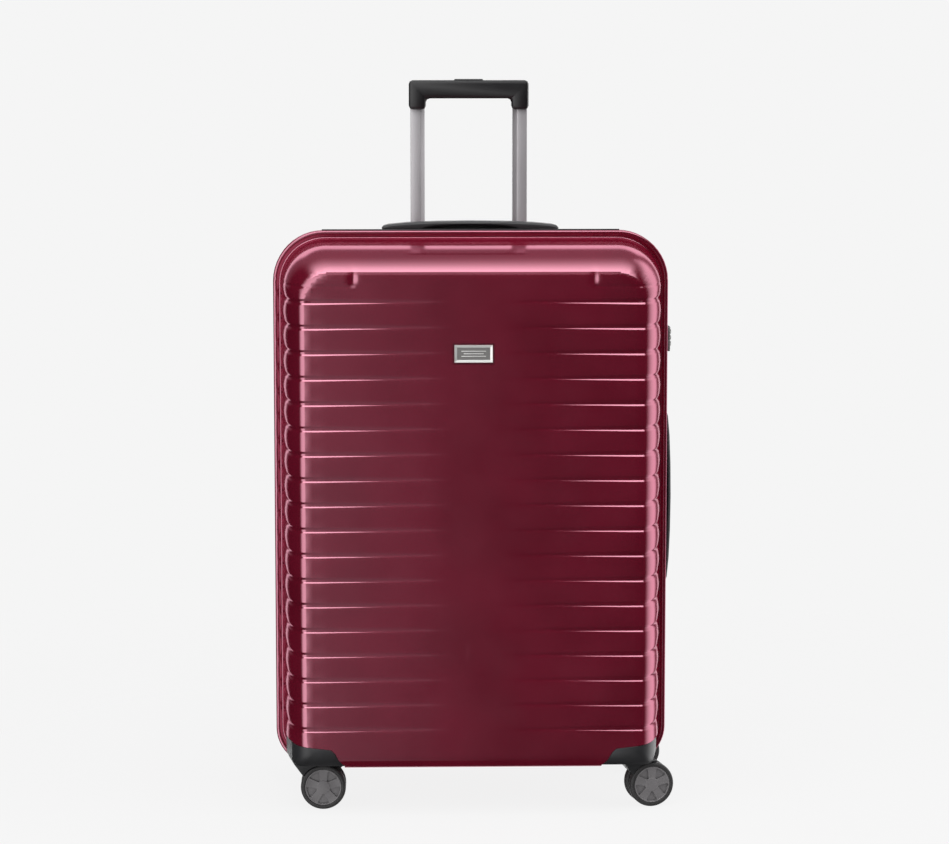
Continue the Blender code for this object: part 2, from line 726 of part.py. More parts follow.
def bezel_block(bm, grow, top):
    wide = GRIP_WIDTH / 2 + BEZEL_PLAY + BEZEL_WALL + grow
    deep = GRIP_DEPTH / 2 + BEZEL_PLAY + BEZEL_WALL + grow
    box(bm, (-wide, TROLLEY_Y - deep, bezel_bottom() - grow), (wide, TROLLEY_Y + deep, top))


def bezel_tray(bm):
    wide = GRIP_WIDTH / 2 + BEZEL_PLAY
    deep = GRIP_DEPTH / 2 + BEZEL_PLAY
    box(bm, (-wide, TROLLEY_Y - deep, bezel_bottom() + BEZEL_FLOOR), (wide, TROLLEY_Y + deep, FAR))


def build_trolley_guide(finish):
    bezel = add_object("trolley_bezel", lambda bm: bezel_block(bm, 0, BEZEL_TOP), finish["plastic"])
    bevel(bezel, BEZEL_BEVEL)
    boolean(bezel, cutter("cut_bezel_tray", bezel_tray))
    low, high = OUTER_TUBE_BOTTOM, bezel_bottom() - FIT
    for side, word in ((-1, "left"), (1, "right")):
        hole = cutter(f"cut_bezel_{word}", lambda bm, side=side: prism(
            bm, tube_outline(side, TUBE_PLAY), bezel_bottom() - TUBE_WIDTH, bezel_bottom() + TUBE_WIDTH, "Z"))
        boolean(bezel, hole)
        add_object(f"outer_tube_{word}", lambda bm, side=side: square_tube(
            bm, side, TUBE_PLAY, TUBE_PLAY + TUBE_WALL, low, high), finish["tube"])
    reach = TROLLEY_SPREAD + TUBE_WIDTH / 2 + TUBE_PLAY + TUBE_WALL
    deep = TUBE_DEPTH / 2 + TUBE_PLAY + TUBE_WALL
    bar = add_object("tube_foot_bar", lambda bm: box(
        bm, (-reach, TROLLEY_Y - deep, low - FIT - FOOT_BAR_HEIGHT), (reach, TROLLEY_Y + deep, low - FIT)),
        finish["plastic"])
    bevel(bar, SMALL_BEVEL)


def build_trolley(finish):
    slide = add_empty("trolley_slide", (0, TROLLEY_Y, 0))
    foot = GRIP_TOP - GRIP_BAR - GRIP_LEG
    socket_top = GRIP_TOP - GRIP_BAR - GRIP_SOCKET_ROOF
    button_low = GRIP_TOP + BUTTON_PROUD - BUTTON_SIZE[2]
    link_low = button_low - LINK_SECTION[1]
    channel_low = link_low - BUTTON_TRAVEL - BUTTON_PLAY

    grip = add_object("trolley_grip", lambda bm: prism(
        bm, grip_outline(), TROLLEY_Y - GRIP_DEPTH / 2, TROLLEY_Y + GRIP_DEPTH / 2),
        finish["grip"], slide, True)
    bevel(grip, GRIP_BEVEL, 2)
    long, deep = LINK_LENGTH / 2 + BUTTON_PLAY, LINK_SECTION[0] / 2 + BUTTON_PLAY
    boolean(grip, cutter("cut_grip_channel", lambda bm: box(
        bm, (-long, TROLLEY_Y - deep, channel_low), (long, TROLLEY_Y + deep, button_low + BUTTON_PLAY))))
    wide, deep_pocket = (size / 2 + BUTTON_PLAY for size in BUTTON_SIZE[:2])
    boolean(grip, cutter("cut_button_pocket", lambda bm: box(
        bm, (-wide, TROLLEY_Y - deep_pocket, channel_low),
        (wide, TROLLEY_Y + deep_pocket, GRIP_TOP + GRIP_BAR))))

    bottom = OUTER_TUBE_BOTTOM + TROLLEY_DOWN + BUTTON_TRAVEL
    for side, word in ((-1, "left"), (1, "right")):
        boolean(grip, cutter(f"cut_grip_socket_{word}", lambda bm, side=side: prism(
            bm, tube_outline(side, FIT), foot - GRIP_BAR, socket_top, "Z")))
        rod_x = side * (TROLLEY_SPREAD + ROD_OUTWARD)
        half_rod = [size / 2 + BUTTON_PLAY for size in ROD_SIZE]
        boolean(grip, cutter(f"cut_rod_hole_{word}", lambda bm, x=rod_x, half=half_rod: box(
            bm, (x - half[0], TROLLEY_Y - half[1], foot),
            (x + half[0], TROLLEY_Y + half[1], channel_low + BUTTON_PLAY))))
        add_object(f"inner_tube_{word}", lambda bm, side=side: square_tube(
            bm, side, -TUBE_WALL, 0, bottom, socket_top - FIT), finish["tube"], slide, True)
    return slide, link_low, bottom


def build_release(finish, trolley, link_low, tube_bottom):
    """The push button with its cross link, and the rods that it presses down the tubes."""
    button_top = GRIP_TOP + BUTTON_PROUD
    button = add_object("grip_button", lambda bm: box(
        bm, (-BUTTON_SIZE[0] / 2, TROLLEY_Y - BUTTON_SIZE[1] / 2, button_top - BUTTON_SIZE[2]),
        (BUTTON_SIZE[0] / 2, TROLLEY_Y + BUTTON_SIZE[1] / 2, button_top)), finish["plastic"], trolley, True)
    bevel(button, SMALL_BEVEL)
    link = cutter("join_grip_link", lambda bm: box(
        bm, (-LINK_LENGTH / 2, TROLLEY_Y - LINK_SECTION[0] / 2, link_low),
        (LINK_LENGTH / 2, TROLLEY_Y + LINK_SECTION[0] / 2, link_low + LINK_SECTION[1] + BUTTON_PLAY / 2)))
    boolean(button, link, "UNION")
    for side, word in ((-1, "left"), (1, "right")):
        x = side * (TROLLEY_SPREAD + ROD_OUTWARD)
        add_object(f"release_rod_{word}", lambda bm, x=x: box(
            bm, (x - ROD_SIZE[0] / 2, TROLLEY_Y - ROD_SIZE[1] / 2, tube_bottom + ROD_LIFT),
            (x + ROD_SIZE[0] / 2, TROLLEY_Y + ROD_SIZE[1] / 2, link_low - FIT)),
            finish["tube"], trolley, True)


# ---------------------------------------------------------------- carry handles
def build_handle(name, seat, turn, rear_shell, finish, lip=False):
    place = add_empty(f"{name}_seat", seat, turn)
    base = add_object(f"{name}_base", lambda bm: handle_base_box(bm, 0, 0), finish["plastic"], place)
    grip = add_object(f"{name}_grip", handle_grip, finish["grip"], place)
    bevel(grip, HANDLE_BEVEL)
    boolean(base, cutter(f"cut_{name}_scoop", handle_scoop, place))
    if lip:
        boolean(base, cutter(f"join_{name}_lip", handle_lip, place), "UNION")
    for side, word in ((-1, "near"), (1, "far")):
        leg = cutter(f"join_{name}_leg_{word}", lambda bm, side=side: handle_leg_box(
            bm, side, 0, HANDLE_RISE / 2), place)
        boolean(grip, leg, "UNION")
        pocket = cutter(f"cut_{name}_pocket_{word}", lambda bm, side=side: handle_leg_box(
            bm, side, 2 * FIT, FIT * 4), place)
        boolean(base, pocket)
    boolean(rear_shell, cutter(f"cut_{name}_opening", lambda bm: handle_base_box(bm, FIT, 0.02), place))


# ---------------------------------------------------------------- lock
def lock_block(bm, grow):
    """The lock's case; a cutter for its opening is the same box, grown."""
    low = (LOCK_FACE_X - LOCK_THICK - grow, LOCK_START - grow, LOCK_Z - LOCK_HALF_HEIGHT - grow)
    box(bm, low, (LOCK_FACE_X + grow, LOCK_END + grow, LOCK_Z + LOCK_HALF_HEIGHT + grow))


def build_lock(finish):
    body = add_object("lock_body", lambda bm: lock_block(bm, 0), finish["plastic"])
    bevel(body, SMALL_BEVEL)
    dial_x = LOCK_FACE_X + DIAL_PROUD - DIAL_RADIUS
    reach = DIAL_RADIUS + DIAL_PLAY
    slot_half = DIAL_PITCH + DIAL_WIDTH / 2 + DIAL_PLAY
    boolean(body, cutter("cut_dial_slot", lambda bm: box(
        bm, (dial_x - reach, DIAL_Y - reach, LOCK_Z - slot_half),
        (LOCK_FACE_X + reach, DIAL_Y + reach, LOCK_Z + slot_half))))
    spindle_half = slot_half + SPINDLE_END
    boolean(body, cutter("cut_spindle_hole", lambda bm: rod(
        bm, SPINDLE_RADIUS + FIT, LOCK_Z - spindle_half - FIT, LOCK_Z + spindle_half + FIT, 12, "Z",
        (dial_x, DIAL_Y))))
    add_object("lock_spindle", lambda bm: rod(
        bm, SPINDLE_RADIUS, LOCK_Z - spindle_half, LOCK_Z + spindle_half, 12, "Z", (dial_x, DIAL_Y)),
        finish["steel"])
    bore = SPINDLE_RADIUS + FIT
    half = DIAL_WIDTH / 2
    profile = [(bore, -half), (DIAL_RADIUS, -half), (DIAL_RADIUS, half), (bore, half)]
    for number, step in ((1, 1), (2, 0), (3, -1)):
        dial = add_object(f"lock_dial_{number}", lambda bm: turned(bm, profile, DIAL_STEPS, "Z"), finish["badge"])
        dial.location = (dial_x, DIAL_Y, LOCK_Z + step * DIAL_PITCH)

    size = LOCK_BUTTON_SIZE
    outer = LOCK_FACE_X + LOCK_BUTTON_PROUD
    button = add_object("lock_button", lambda bm: centred_box(bm, (-size[0] / 2, 0, 0), size), finish["badge"])
    button.location = (outer, LOCK_BUTTON_Y, LOCK_Z)
    bevel(button, LOCK_BUTTON_BEVEL)
    wide, high = size[1] / 2 + FIT, size[2] / 2 + FIT
    boolean(body, cutter("cut_lock_button", lambda bm: box(
        bm, (outer - size[0] - LOCK_BUTTON_TRAVEL - FIT, LOCK_BUTTON_Y - wide, LOCK_Z - high),
        (outer + size[0], LOCK_BUTTON_Y + wide, LOCK_Z + high))))


# ---------------------------------------------------------------- casters
def build_housing(sx, sy, corner, finish, solid):
    """A corner housing with the case's own surface, hollow above its floor, bored for the stem."""
    name = f"{corner}_housing"
    hinge = bpy.data.objects["front_half_hinge"] if sy < 0 else None
    housing = add_object(
        name, lambda bm: corner_block(bm, sx, sy, 0, HOUSING_BOTTOM), finish["plastic"], hinge, bool(hinge)
    )
    boolean(housing, solid, "INTERSECT")
    boolean(housing, cutter(f"cut_{name}_pocket", lambda bm: housing_pocket(bm, sx, sy)))
    boolean(housing, cutter(f"cut_{name}_bore", lambda bm: rod(
        bm, STEM_RADIUS + FIT, HOUSING_BOTTOM - FAR, HOUSING_BOTTOM + 2 * HOUSING_FLOOR, 16, "Z",
        (sx * CASTER_X, sy * CASTER_Y))))


def build_caster(sx, sy, corner, yaw, finish):
    swivel = add_empty(f"{corner}_swivel", (sx * CASTER_X, sy * CASTER_Y, 0), (0, 0, yaw))
    fork = add_object(f"{corner}_fork", fork_guard, finish["plastic"], swivel)
    boolean(fork, cutter(f"join_{corner}_web", fork_web, swivel), "UNION")
    boolean(fork, cutter(f"join_{corner}_stem", fork_stem, swivel), "UNION")
    axle_half = WEB_WIDTH / 2 + WEB_PLAY + WHEEL_WIDTH - AXLE_SHORT

    def bar(bm, radius, half):
        rod(bm, radius, -half, half, 12, "Y", (WHEEL_TRAIL, WHEEL_RADIUS))
    boolean(fork, cutter(f"cut_{corner}_axle_hole", lambda bm: bar(bm, AXLE_RADIUS + FIT, WEB_WIDTH), swivel))
    add_object(f"{corner}_axle", lambda bm: bar(bm, AXLE_RADIUS, axle_half), finish["steel"], swivel)
    for outward, word in ((-1, "outer"), (1, "inner")):
        near = outward * (WEB_WIDTH / 2 + WEB_PLAY)
        for kind, maker, look in (("hub", hub, "hub"), ("tyre", tyre, "rubber")):
            wheel = add_object(
                f"{corner}_{word}_{kind}", lambda bm, o=outward, m=maker: m(bm, o), finish[look], swivel
            )
            wheel.location = (WHEEL_TRAIL, near, WHEEL_RADIUS)
            smooth(wheel)


def build():
    clear_scene()
    finish = finishes()
    build_front_half(finish)
    rear_shell = build_rear_half(finish)
    build_strap(finish)
    build_sliders(finish)
    build_trolley_guide(finish)
    slide, link_low, tube_bottom = build_trolley(finish)
    build_release(finish, slide, link_low, tube_bottom)
    build_handle("top_handle", (0, HANDLE_Y, TOP_HANDLE_SEAT), (0, 0, 0), rear_shell, finish, True)
    build_handle(
        "side_handle", (SIDE_HANDLE_SEAT, HANDLE_Y, SIDE_HANDLE_Z), (0, pi / 2, 0), rear_shell, finish
    )
    build_lock(finish)
    for sy, half in ((-1, "front"), (1, "rear")):
        solid = cutter(f"{half}_surface", lambda bm, sy=sy: half_solid(bm, sy))
        for sx, word in ((-1, "left"), (1, "right")):
            corner = f"{half}_{word}"
            yaw = FRONT_RIGHT_YAW if corner == "front_right" else 0
            build_housing(sx, sy, corner, finish, solid)
            build_caster(sx, sy, corner, yaw, finish)


build()
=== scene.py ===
# %% [markdown]
# # A hard shell suitcase on four double wheels
#
# The suitcase was measured and jointed in CAD first. This lesson gives each piece its looks.
# Everything is in metres. The front of the case faces -Y, and it stands on z = 0.
# A piece that moves rides on the body of the same name in the measured model.

# %% Load the measured model
import json
from math import asin, ceil, cos, pi, radians, sin, tau

import bpy
from mathutils import Matrix, Vector, noise


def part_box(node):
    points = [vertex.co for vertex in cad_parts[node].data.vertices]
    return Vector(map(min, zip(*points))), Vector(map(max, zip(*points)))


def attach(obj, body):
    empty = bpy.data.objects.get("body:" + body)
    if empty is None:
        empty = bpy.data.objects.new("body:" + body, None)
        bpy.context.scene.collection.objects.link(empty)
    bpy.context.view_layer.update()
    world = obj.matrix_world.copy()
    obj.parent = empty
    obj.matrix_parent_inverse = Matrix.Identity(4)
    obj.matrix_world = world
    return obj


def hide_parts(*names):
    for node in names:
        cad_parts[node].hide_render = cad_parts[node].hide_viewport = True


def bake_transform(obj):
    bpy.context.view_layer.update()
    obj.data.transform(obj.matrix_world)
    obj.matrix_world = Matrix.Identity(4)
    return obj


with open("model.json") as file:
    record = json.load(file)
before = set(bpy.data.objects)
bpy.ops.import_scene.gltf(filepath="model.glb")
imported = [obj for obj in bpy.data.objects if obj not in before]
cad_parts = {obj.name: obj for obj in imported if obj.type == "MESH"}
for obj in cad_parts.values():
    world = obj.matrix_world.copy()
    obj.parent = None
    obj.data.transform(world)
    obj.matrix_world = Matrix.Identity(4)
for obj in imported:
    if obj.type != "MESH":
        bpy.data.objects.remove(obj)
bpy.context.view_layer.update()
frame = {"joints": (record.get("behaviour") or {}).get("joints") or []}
MM = 0.001

# %% [markdown]
# ## Hands for the mesh work
#
# An operator acts on whatever is selected, so a few small helpers clear the selection, add a
# primitive at its size and place, and pick faces or edges by where they are.

# %% Selecting and adding
TURNS = {"X": (0, pi / 2, 0), "Y": (pi / 2, 0, 0), "Z": (0, 0, 0)}
FRONT_TO_REAR = Matrix.Diagonal((1, -1, 1, 1))


def clear():
    if bpy.context.object and bpy.context.object.mode != "OBJECT":
        bpy.ops.object.mode_set(mode="OBJECT")
    bpy.ops.object.select_all(action="DESELECT")


def pick(*pieces):
    clear()
    for piece in pieces:
        piece.select_set(True)
    bpy.context.view_layer.objects.active = pieces[0]


def settle(piece, name):
    """Names a piece and puts its place, turn and size into its mesh."""
    piece.name = piece.data.name = name
    pick(piece)
    bpy.ops.object.transform_apply(location=True, rotation=True, scale=True)
    return piece


def block(name, low, high):
    low, high = Vector(low), Vector(high)
    clear()
    bpy.ops.mesh.primitive_cube_add(size=1, location=(low + high) / 2)
    bpy.context.object.scale = high - low
    return settle(bpy.context.object, name)


def drum(name, centre, radius, length, axis="Z", sides=48):
    clear()
    bpy.ops.mesh.primitive_cylinder_add(
        vertices=sides, radius=radius, depth=length, location=centre, rotation=TURNS[axis]
    )
    return settle(bpy.context.object, name)


# %% Choosing in edit mode
def choose(piece, kind, test=lambda place, way: True):
    """Opens edit mode with only the faces, edges or points that pass the test."""
    pick(piece)
    bpy.ops.object.mode_set(mode="EDIT")
    bpy.ops.mesh.select_mode(type=kind)
    bpy.ops.mesh.select_all(action="DESELECT")
    bpy.ops.object.mode_set(mode="OBJECT")
    mesh = piece.data
    for face in mesh.polygons if kind == "FACE" else ():
        face.select = bool(test(face.center, face.normal))
    for edge in mesh.edges if kind == "EDGE" else ():
        a, b = (mesh.vertices[i].co for i in edge.vertices)
        edge.select = bool(test((a + b) / 2, (b - a).normalized()))
    for point in mesh.vertices if kind == "VERT" else ():
        point.select = bool(test(point.co, point.normal))
    bpy.ops.object.mode_set(mode="EDIT")


def done(piece):
    bpy.ops.object.mode_set(mode="OBJECT")
    return piece


def outward(piece):
    choose(piece, "FACE")
    bpy.ops.mesh.remove_doubles(threshold=0.01 * MM)
    bpy.ops.mesh.normals_make_consistent(inside=False)
    return done(piece)


# %% Modifiers, booleans and copies
def modify(piece, kind, **settings):
    pick(piece)
    modifier = piece.modifiers.new(kind.title(), kind)
    for key, value in settings.items():
        setattr(modifier, key, value)
    bpy.ops.object.modifier_apply(modifier=modifier.name)
    return piece


def soften(piece, width, segments=2, angle=30):
    """Rounds every edge that is sharper than the angle."""
    modify(
        piece, "BEVEL", width=width, segments=segments, limit_method="ANGLE",
        angle_limit=radians(angle), use_clamp_overlap=True,
    )
    return piece


def smooth(piece, angle=40):
    pick(piece)
    bpy.ops.object.shade_smooth_by_angle(angle=radians(angle))
    return piece


def join(*pieces):
    pick(*pieces)
    bpy.ops.object.join()
    return pieces[0]


def carve(piece, *tools):
    tool = join(*tools) if len(tools) > 1 else tools[0]
    modify(piece, "BOOLEAN", object=tool, operation="DIFFERENCE", solver="EXACT")
    bpy.data.objects.remove(tool)
    return piece


def copy_of(piece, name, place):
    """A copy with its own mesh, moved by the matrix."""
    pick(piece)
    bpy.ops.object.duplicate()
    twin = bpy.context.object
    twin.name = twin.data.name = name
    twin.data.transform(place)
    if place.determinant() < 0:
        outward(twin)
    return twin


def repeat(piece, name, places):
    """One mesh that holds a copy of a small piece at every place."""
    points = [place @ point.co for place in places for point in piece.data.vertices]
    count = len(piece.data.vertices)
    faces = [
        [i + n * count for i in face.vertices]
        for n in range(len(places)) for face in piece.data.polygons
    ]
    mesh = bpy.data.meshes.new(name)
    mesh.from_pydata(points, [], faces)
    twin = bpy.data.objects.new(name, mesh)
    bpy.context.scene.collection.objects.link(twin)
    bpy.data.objects.remove(piece)
    return twin


def refined(name, node, edge, segments=2, angle=30):
    """A CAD solid's copy: its loose triangles merged, its flats cleaned, its edges rounded."""
    pick(bpy.data.objects[node])
    bpy.ops.object.duplicate()
    piece = bpy.context.object
    for key in [key for key in piece.keys() if key.startswith("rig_")]:
        del piece[key]
    settle(piece, name)
    choose(piece, "FACE")
    bpy.ops.mesh.remove_doubles(threshold=0.02 * MM)
    bpy.ops.mesh.dissolve_limited(angle_limit=radians(1))
    done(piece)
    return smooth(soften(piece, edge, segments, angle))


print("helpers are ready")

# %% [markdown]
# ## Finishes
#
# A finish is a Principled shader and the few nodes that vary it over a surface. The maths is
# written as ordinary Python: one class stands for a node's output, and its operators add Math
# nodes. Patterns read Object coordinates, which are metres on the finished case.

# %% Shader maths as Python
class Reading:
    """One output of a node. Arithmetic on it adds Math nodes."""

    def __init__(self, finish, output):
        self.finish, self.output = finish, output

    def maths(self, how, *terms):
        return self.finish.node("Math", {"operation": how}, dict(enumerate(terms)))

    def __add__(self, other):
        return self.maths("ADD", self, other)

    def __sub__(self, other):
        return self.maths("SUBTRACT", self, other)

    def __rsub__(self, other):
        return self.maths("SUBTRACT", other, self)

    def __mul__(self, other):
        return self.maths("MULTIPLY", self, other)

    def wave(self):
        return self.maths("SINE", self)

    def size(self):
        return self.maths("ABSOLUTE", self)

    def root(self):
        return self.maths("SQRT", self)

    def between(self, low, high):
        return self.finish.node(
            "MapRange", {"interpolation_type": "SMOOTHSTEP"},
            {"Value": self, "From Min": low, "From Max": high},
        )


class Finish:
    """A material with one Principled shader. made holds every finish by its name."""

    made = {}

    def __init__(self, name, **sockets):
        self.material = bpy.data.materials.new(name)
        self.material.use_nodes = True
        self.tree = self.material.node_tree
        self.shader = self.tree.nodes["Principled BSDF"]
        self.made[name] = self
        for socket, value in sockets.items():
            self.set(socket.replace("_", " "), value)
        self.place = self.node("TexCoord", output="Object")

    def set(self, socket, value):
        goal = self.shader.inputs[socket]
        if isinstance(value, Reading):
            self.tree.links.new(value.output, goal)
        else:
            goal.default_value = value
        return self

    def node(self, kind, settings=None, inputs=None, output=0):
        """Adds a node: its settings come first, then the values or links of its sockets."""
        node = self.tree.nodes.new("ShaderNode" + kind)
        for key, value in (settings or {}).items():
            if key == "stops":
                while len(node.color_ramp.elements) < len(value):
                    node.color_ramp.elements.new(0.5)
                for element, (position, colour) in zip(node.color_ramp.elements, value):
                    element.position, element.color = position, (*colour, 1)
            else:
                setattr(node, key, value)
        for key, value in (inputs or {}).items():
            if isinstance(value, Reading):
                self.tree.links.new(value.output, node.inputs[key])
            else:
                node.inputs[key].default_value = value
        return Reading(self, node.outputs[output])

    def stretch(self, x, y, z):
        """The place on the case, measured in cells of this many to the metre."""
        return self.node("VectorMath", {"operation": "MULTIPLY"}, {0: self.place, 1: (x, y, z)})

    def noise(self, scale, detail=3.0, rough=0.5, stretched=(1, 1, 1)):
        where = self.stretch(*(scale * s for s in stretched))
        inputs = {"Vector": where, "Scale": 1.0, "Detail": detail, "Roughness": rough}
        return self.node("TexNoise", None, inputs)

    def axes(self):
        return [self.node("SeparateXYZ", None, {0: self.place}, output=i) for i in range(3)]

    def mix(self, share, colour_a, colour_b):
        a, b = (
            colour if isinstance(colour, Reading) else (*colour, 1)
            for colour in (colour_a, colour_b)
        )
        return self.node("Mix", {"data_type": "RGBA"}, {0: share, 6: a, 7: b}, output=2)

    def colour(self, share, colour_a, colour_b):
        return self.set("Base Color", self.mix(share, colour_a, colour_b))

    def bump(self, height, depth, strength=1.0):
        inputs = {"Height": height, "Distance": depth, "Strength": strength}
        return self.set("Normal", self.node("Bump", None, inputs))

    def glaze(self, share, **sockets):
        """Lays a second Principled shader over the first. Later settings go to the new one."""
        over = self.tree.nodes.new("ShaderNodeBsdfPrincipled")
        both = self.tree.nodes.new("ShaderNodeMixShader")
        both.inputs[0].default_value = share
        self.tree.links.new(self.shader.outputs[0], both.inputs[1])
        self.tree.links.new(over.outputs[0], both.inputs[2])
        self.tree.links.new(both.outputs[0], self.tree.nodes["Material Output"].inputs[0])
        self.shader = over
        for socket, value in sockets.items():
            self.set(socket.replace("_", " "), value)
        return self


print("finishes are ready to be mixed")

# %% [markdown]
# ### The shell
#
# The shell is pressed from a sheet of glossy polycarbonate with the colour all through, so its
# reflections are pink rather than white: a thin pink gloss is laid over a deep red body. The
# gloss is never perfect: it has a faint orange peel, softer places and fine scuffs.

# %% Burgundy polycarbonate
shell = Finish("burgundy_polycarbonate", Roughness=0.5, Specular_IOR_Level=0.0)
shell.colour(shell.noise(9, 2).between(0.35, 0.7), (0.142, 0.0048, 0.018), (0.118, 0.0034, 0.014))
peel, peel_depth = shell.noise(420, 2), 0.02 * MM
shell.bump(peel, peel_depth, 0.35)
scuffs = shell.noise(70, 6, 0.65, (1, 0.4, 0.25)).between(0.6, 0.78)
GLOSS_SHARE = 0.28
PINK, PINK_EDGE = (1.0, 0.47, 0.6, 1), (1.0, 0.7, 0.8, 1)
shell.glaze(GLOSS_SHARE, Metallic=1.0, Base_Color=PINK, Specular_Tint=PINK_EDGE)
shell.set("Roughness", shell.noise(24, 3) * 0.05 + scuffs * 0.035 + 0.13)
shell.bump(peel, peel_depth, 0.35)

# %% [markdown]
# ### Moulded plastics and rubber
#
# The black parts are glass-filled plastic with a fine spark-eroded grain: tiny cells of light
# and dark, with scratches worn a little paler. The grip is smoother where a hand polishes it.

# %% Black plastics, hub grey and tyre rubber
def moulded(name, dark, pale, grain, roughness, depth=0.06 * MM):
    finish = Finish(name, IOR=1.5)
    inputs = {"Vector": finish.stretch(grain, grain, grain), "Scale": 1.0}
    cells = finish.node("TexVoronoi", None, inputs)
    haze = finish.noise(38, 4)
    wear = finish.noise(160, 5, 0.7, (1, 1, 0.3)).between(0.62, 0.76)
    finish.colour(haze * 0.7 + wear * 0.5, dark, pale)
    finish.set("Roughness", cells * 0.1 + haze * 0.12 + roughness)
    finish.bump(cells + wear * 0.4, depth, 0.5)
    return finish


plastic = moulded(
    "grained_black_plastic", (0.015, 0.015, 0.0165), (0.026, 0.026, 0.028), 1500, 0.36
)
grip = moulded(
    "satin_black_grip", (0.006, 0.0057, 0.0064), (0.011, 0.0107, 0.0117), 2600, 0.3, 0.03 * MM
)
hub = moulded(
    "grey_hub_plastic", (0.135, 0.128, 0.132), (0.185, 0.176, 0.18), 1200, 0.3, 0.03 * MM
)
rubber = moulded("tyre_rubber", (0.022, 0.021, 0.022), (0.04, 0.038, 0.038), 900, 0.5)
print("moulded finishes:", sorted(Finish.made))

# %% [markdown]
# ### Metals
#
# The trolley tubes are drawn aluminium, brushed along their length and anodised, so the gloss
# is streaked in one direction. The badge is brushed across, the dials and zip sliders are a
# darker metal, and the pins are plain steel.

# %% Brushed tube, badge metal, dark metal and steel
def brushed(name, dark, pale, streaks, roughness, fine=2200, metal=1.0):
    finish = Finish(name, Metallic=metal)
    lines = finish.noise(fine, 3, 0.6, streaks)
    cloud = finish.noise(16, 2)
    finish.colour(lines * 0.8 + cloud * 0.3, dark, pale)
    finish.set("Roughness", lines * 0.16 + cloud * 0.06 + roughness)
    finish.bump(lines, 0.01 * MM, 0.4)
    return finish


ALONG_Z, ALONG_X, ALONG_Y = (1, 1, 0.012), (0.03, 1, 1), (1, 0.1, 1)
tube = brushed(
    "brushed_anodised_tube", (0.33, 0.318, 0.33), (0.47, 0.457, 0.47), ALONG_Z, 0.27, metal=0.5
)
badge_metal = brushed(
    "brushed_badge_metal", (0.62, 0.62, 0.6), (0.85, 0.85, 0.82), ALONG_X, 0.34, metal=0.6
)
dark_metal = brushed(
    "dark_badge_field", (0.15, 0.147, 0.142), (0.23, 0.225, 0.22), (0.02, 1, 1), 0.5, metal=0.4
)
steel = brushed("plain_steel", (0.3, 0.3, 0.31), (0.5, 0.5, 0.51), ALONG_Y, 0.24)

# %% [markdown]
# ### Woven things
#
# The lining is a thin twill with a small diamond figure, the tapes are a tight plain weave, and
# the packing strap is ribbed webbing. Each weave is waves along the threads' two directions.

# %% Lining, tape and webbing
def woven(name, thread, dark, pale, roughness, tilt=0.35, depth=0.12 * MM):
    finish = Finish(name)
    finish.set("Sheen Weight", 0.25)
    x, y, z = finish.axes()
    across = (x + y * tilt) * (tau / thread)
    along = (z + y * (1 - tilt)) * (tau / thread)
    weave = across.wave() * along.wave() * 0.5 + 0.5
    finish.set("Roughness", weave * 0.1 + roughness)
    finish.bump(weave, depth, 0.6)
    finish.colour(weave * 0.6 + finish.noise(14, 4) * 0.4, dark, pale)
    return finish, x, y, z, weave


lining, x, y, z, weave = woven(
    "twill_lining", 1.1 * MM, (0.03, 0.029, 0.032), (0.062, 0.06, 0.066), 0.75
)
DIAMOND = 21 * MM
figure = (((x + z) * (pi / DIAMOND)).wave() * ((x - z) * (pi / DIAMOND)).wave()).size()
figured = figure.between(0.03, 0.11) * 0.75 + weave * 0.25
lining.colour(figured, (0.095, 0.09, 0.1), (0.038, 0.036, 0.04))
tape = woven("zip_tape_weave", 0.8 * MM, (0.008, 0.008, 0.009), (0.02, 0.019, 0.021), 0.8)[0]
strap = woven(
    "ribbed_webbing", 1.6 * MM, (0.02, 0.02, 0.022), (0.05, 0.049, 0.052), 0.7, 0.9, 0.3 * MM
)[0]
print(len(Finish.made), "finishes")


# %% Giving a piece its finish, body and node
def dress(piece, finish, body, nodes=()):
    piece.data.materials.clear()
    piece.data.materials.append(finish.material)
    if body:
        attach(piece, body)
    if nodes:
        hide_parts(*([nodes] if isinstance(nodes, str) else nodes))
    return piece


def refinish(finish, *nodes):
    """A CAD node that stays gets its finish in its own material slots."""
    for node in nodes:
        for spot in bpy.data.objects[node].material_slots:
            spot.material = finish.material


# %% [markdown]
# ## The two half shells
#
# Each half is a deep rounded tray pressed from one sheet: a bead runs round its mouth beside
# the zip, then a small valley, then a drafted wall that rolls over into the flat face. Eighteen
# grooves cross the face and run on down the walls, which swell a little between them.
#
# The tray starts as a plane with four rounded corners. It is extruded once for each ring of its
# profile, the rings are drawn in to their places, and flat cuts then give it the rows and
# columns that the grooves need. A solidify modifier makes the sheet.

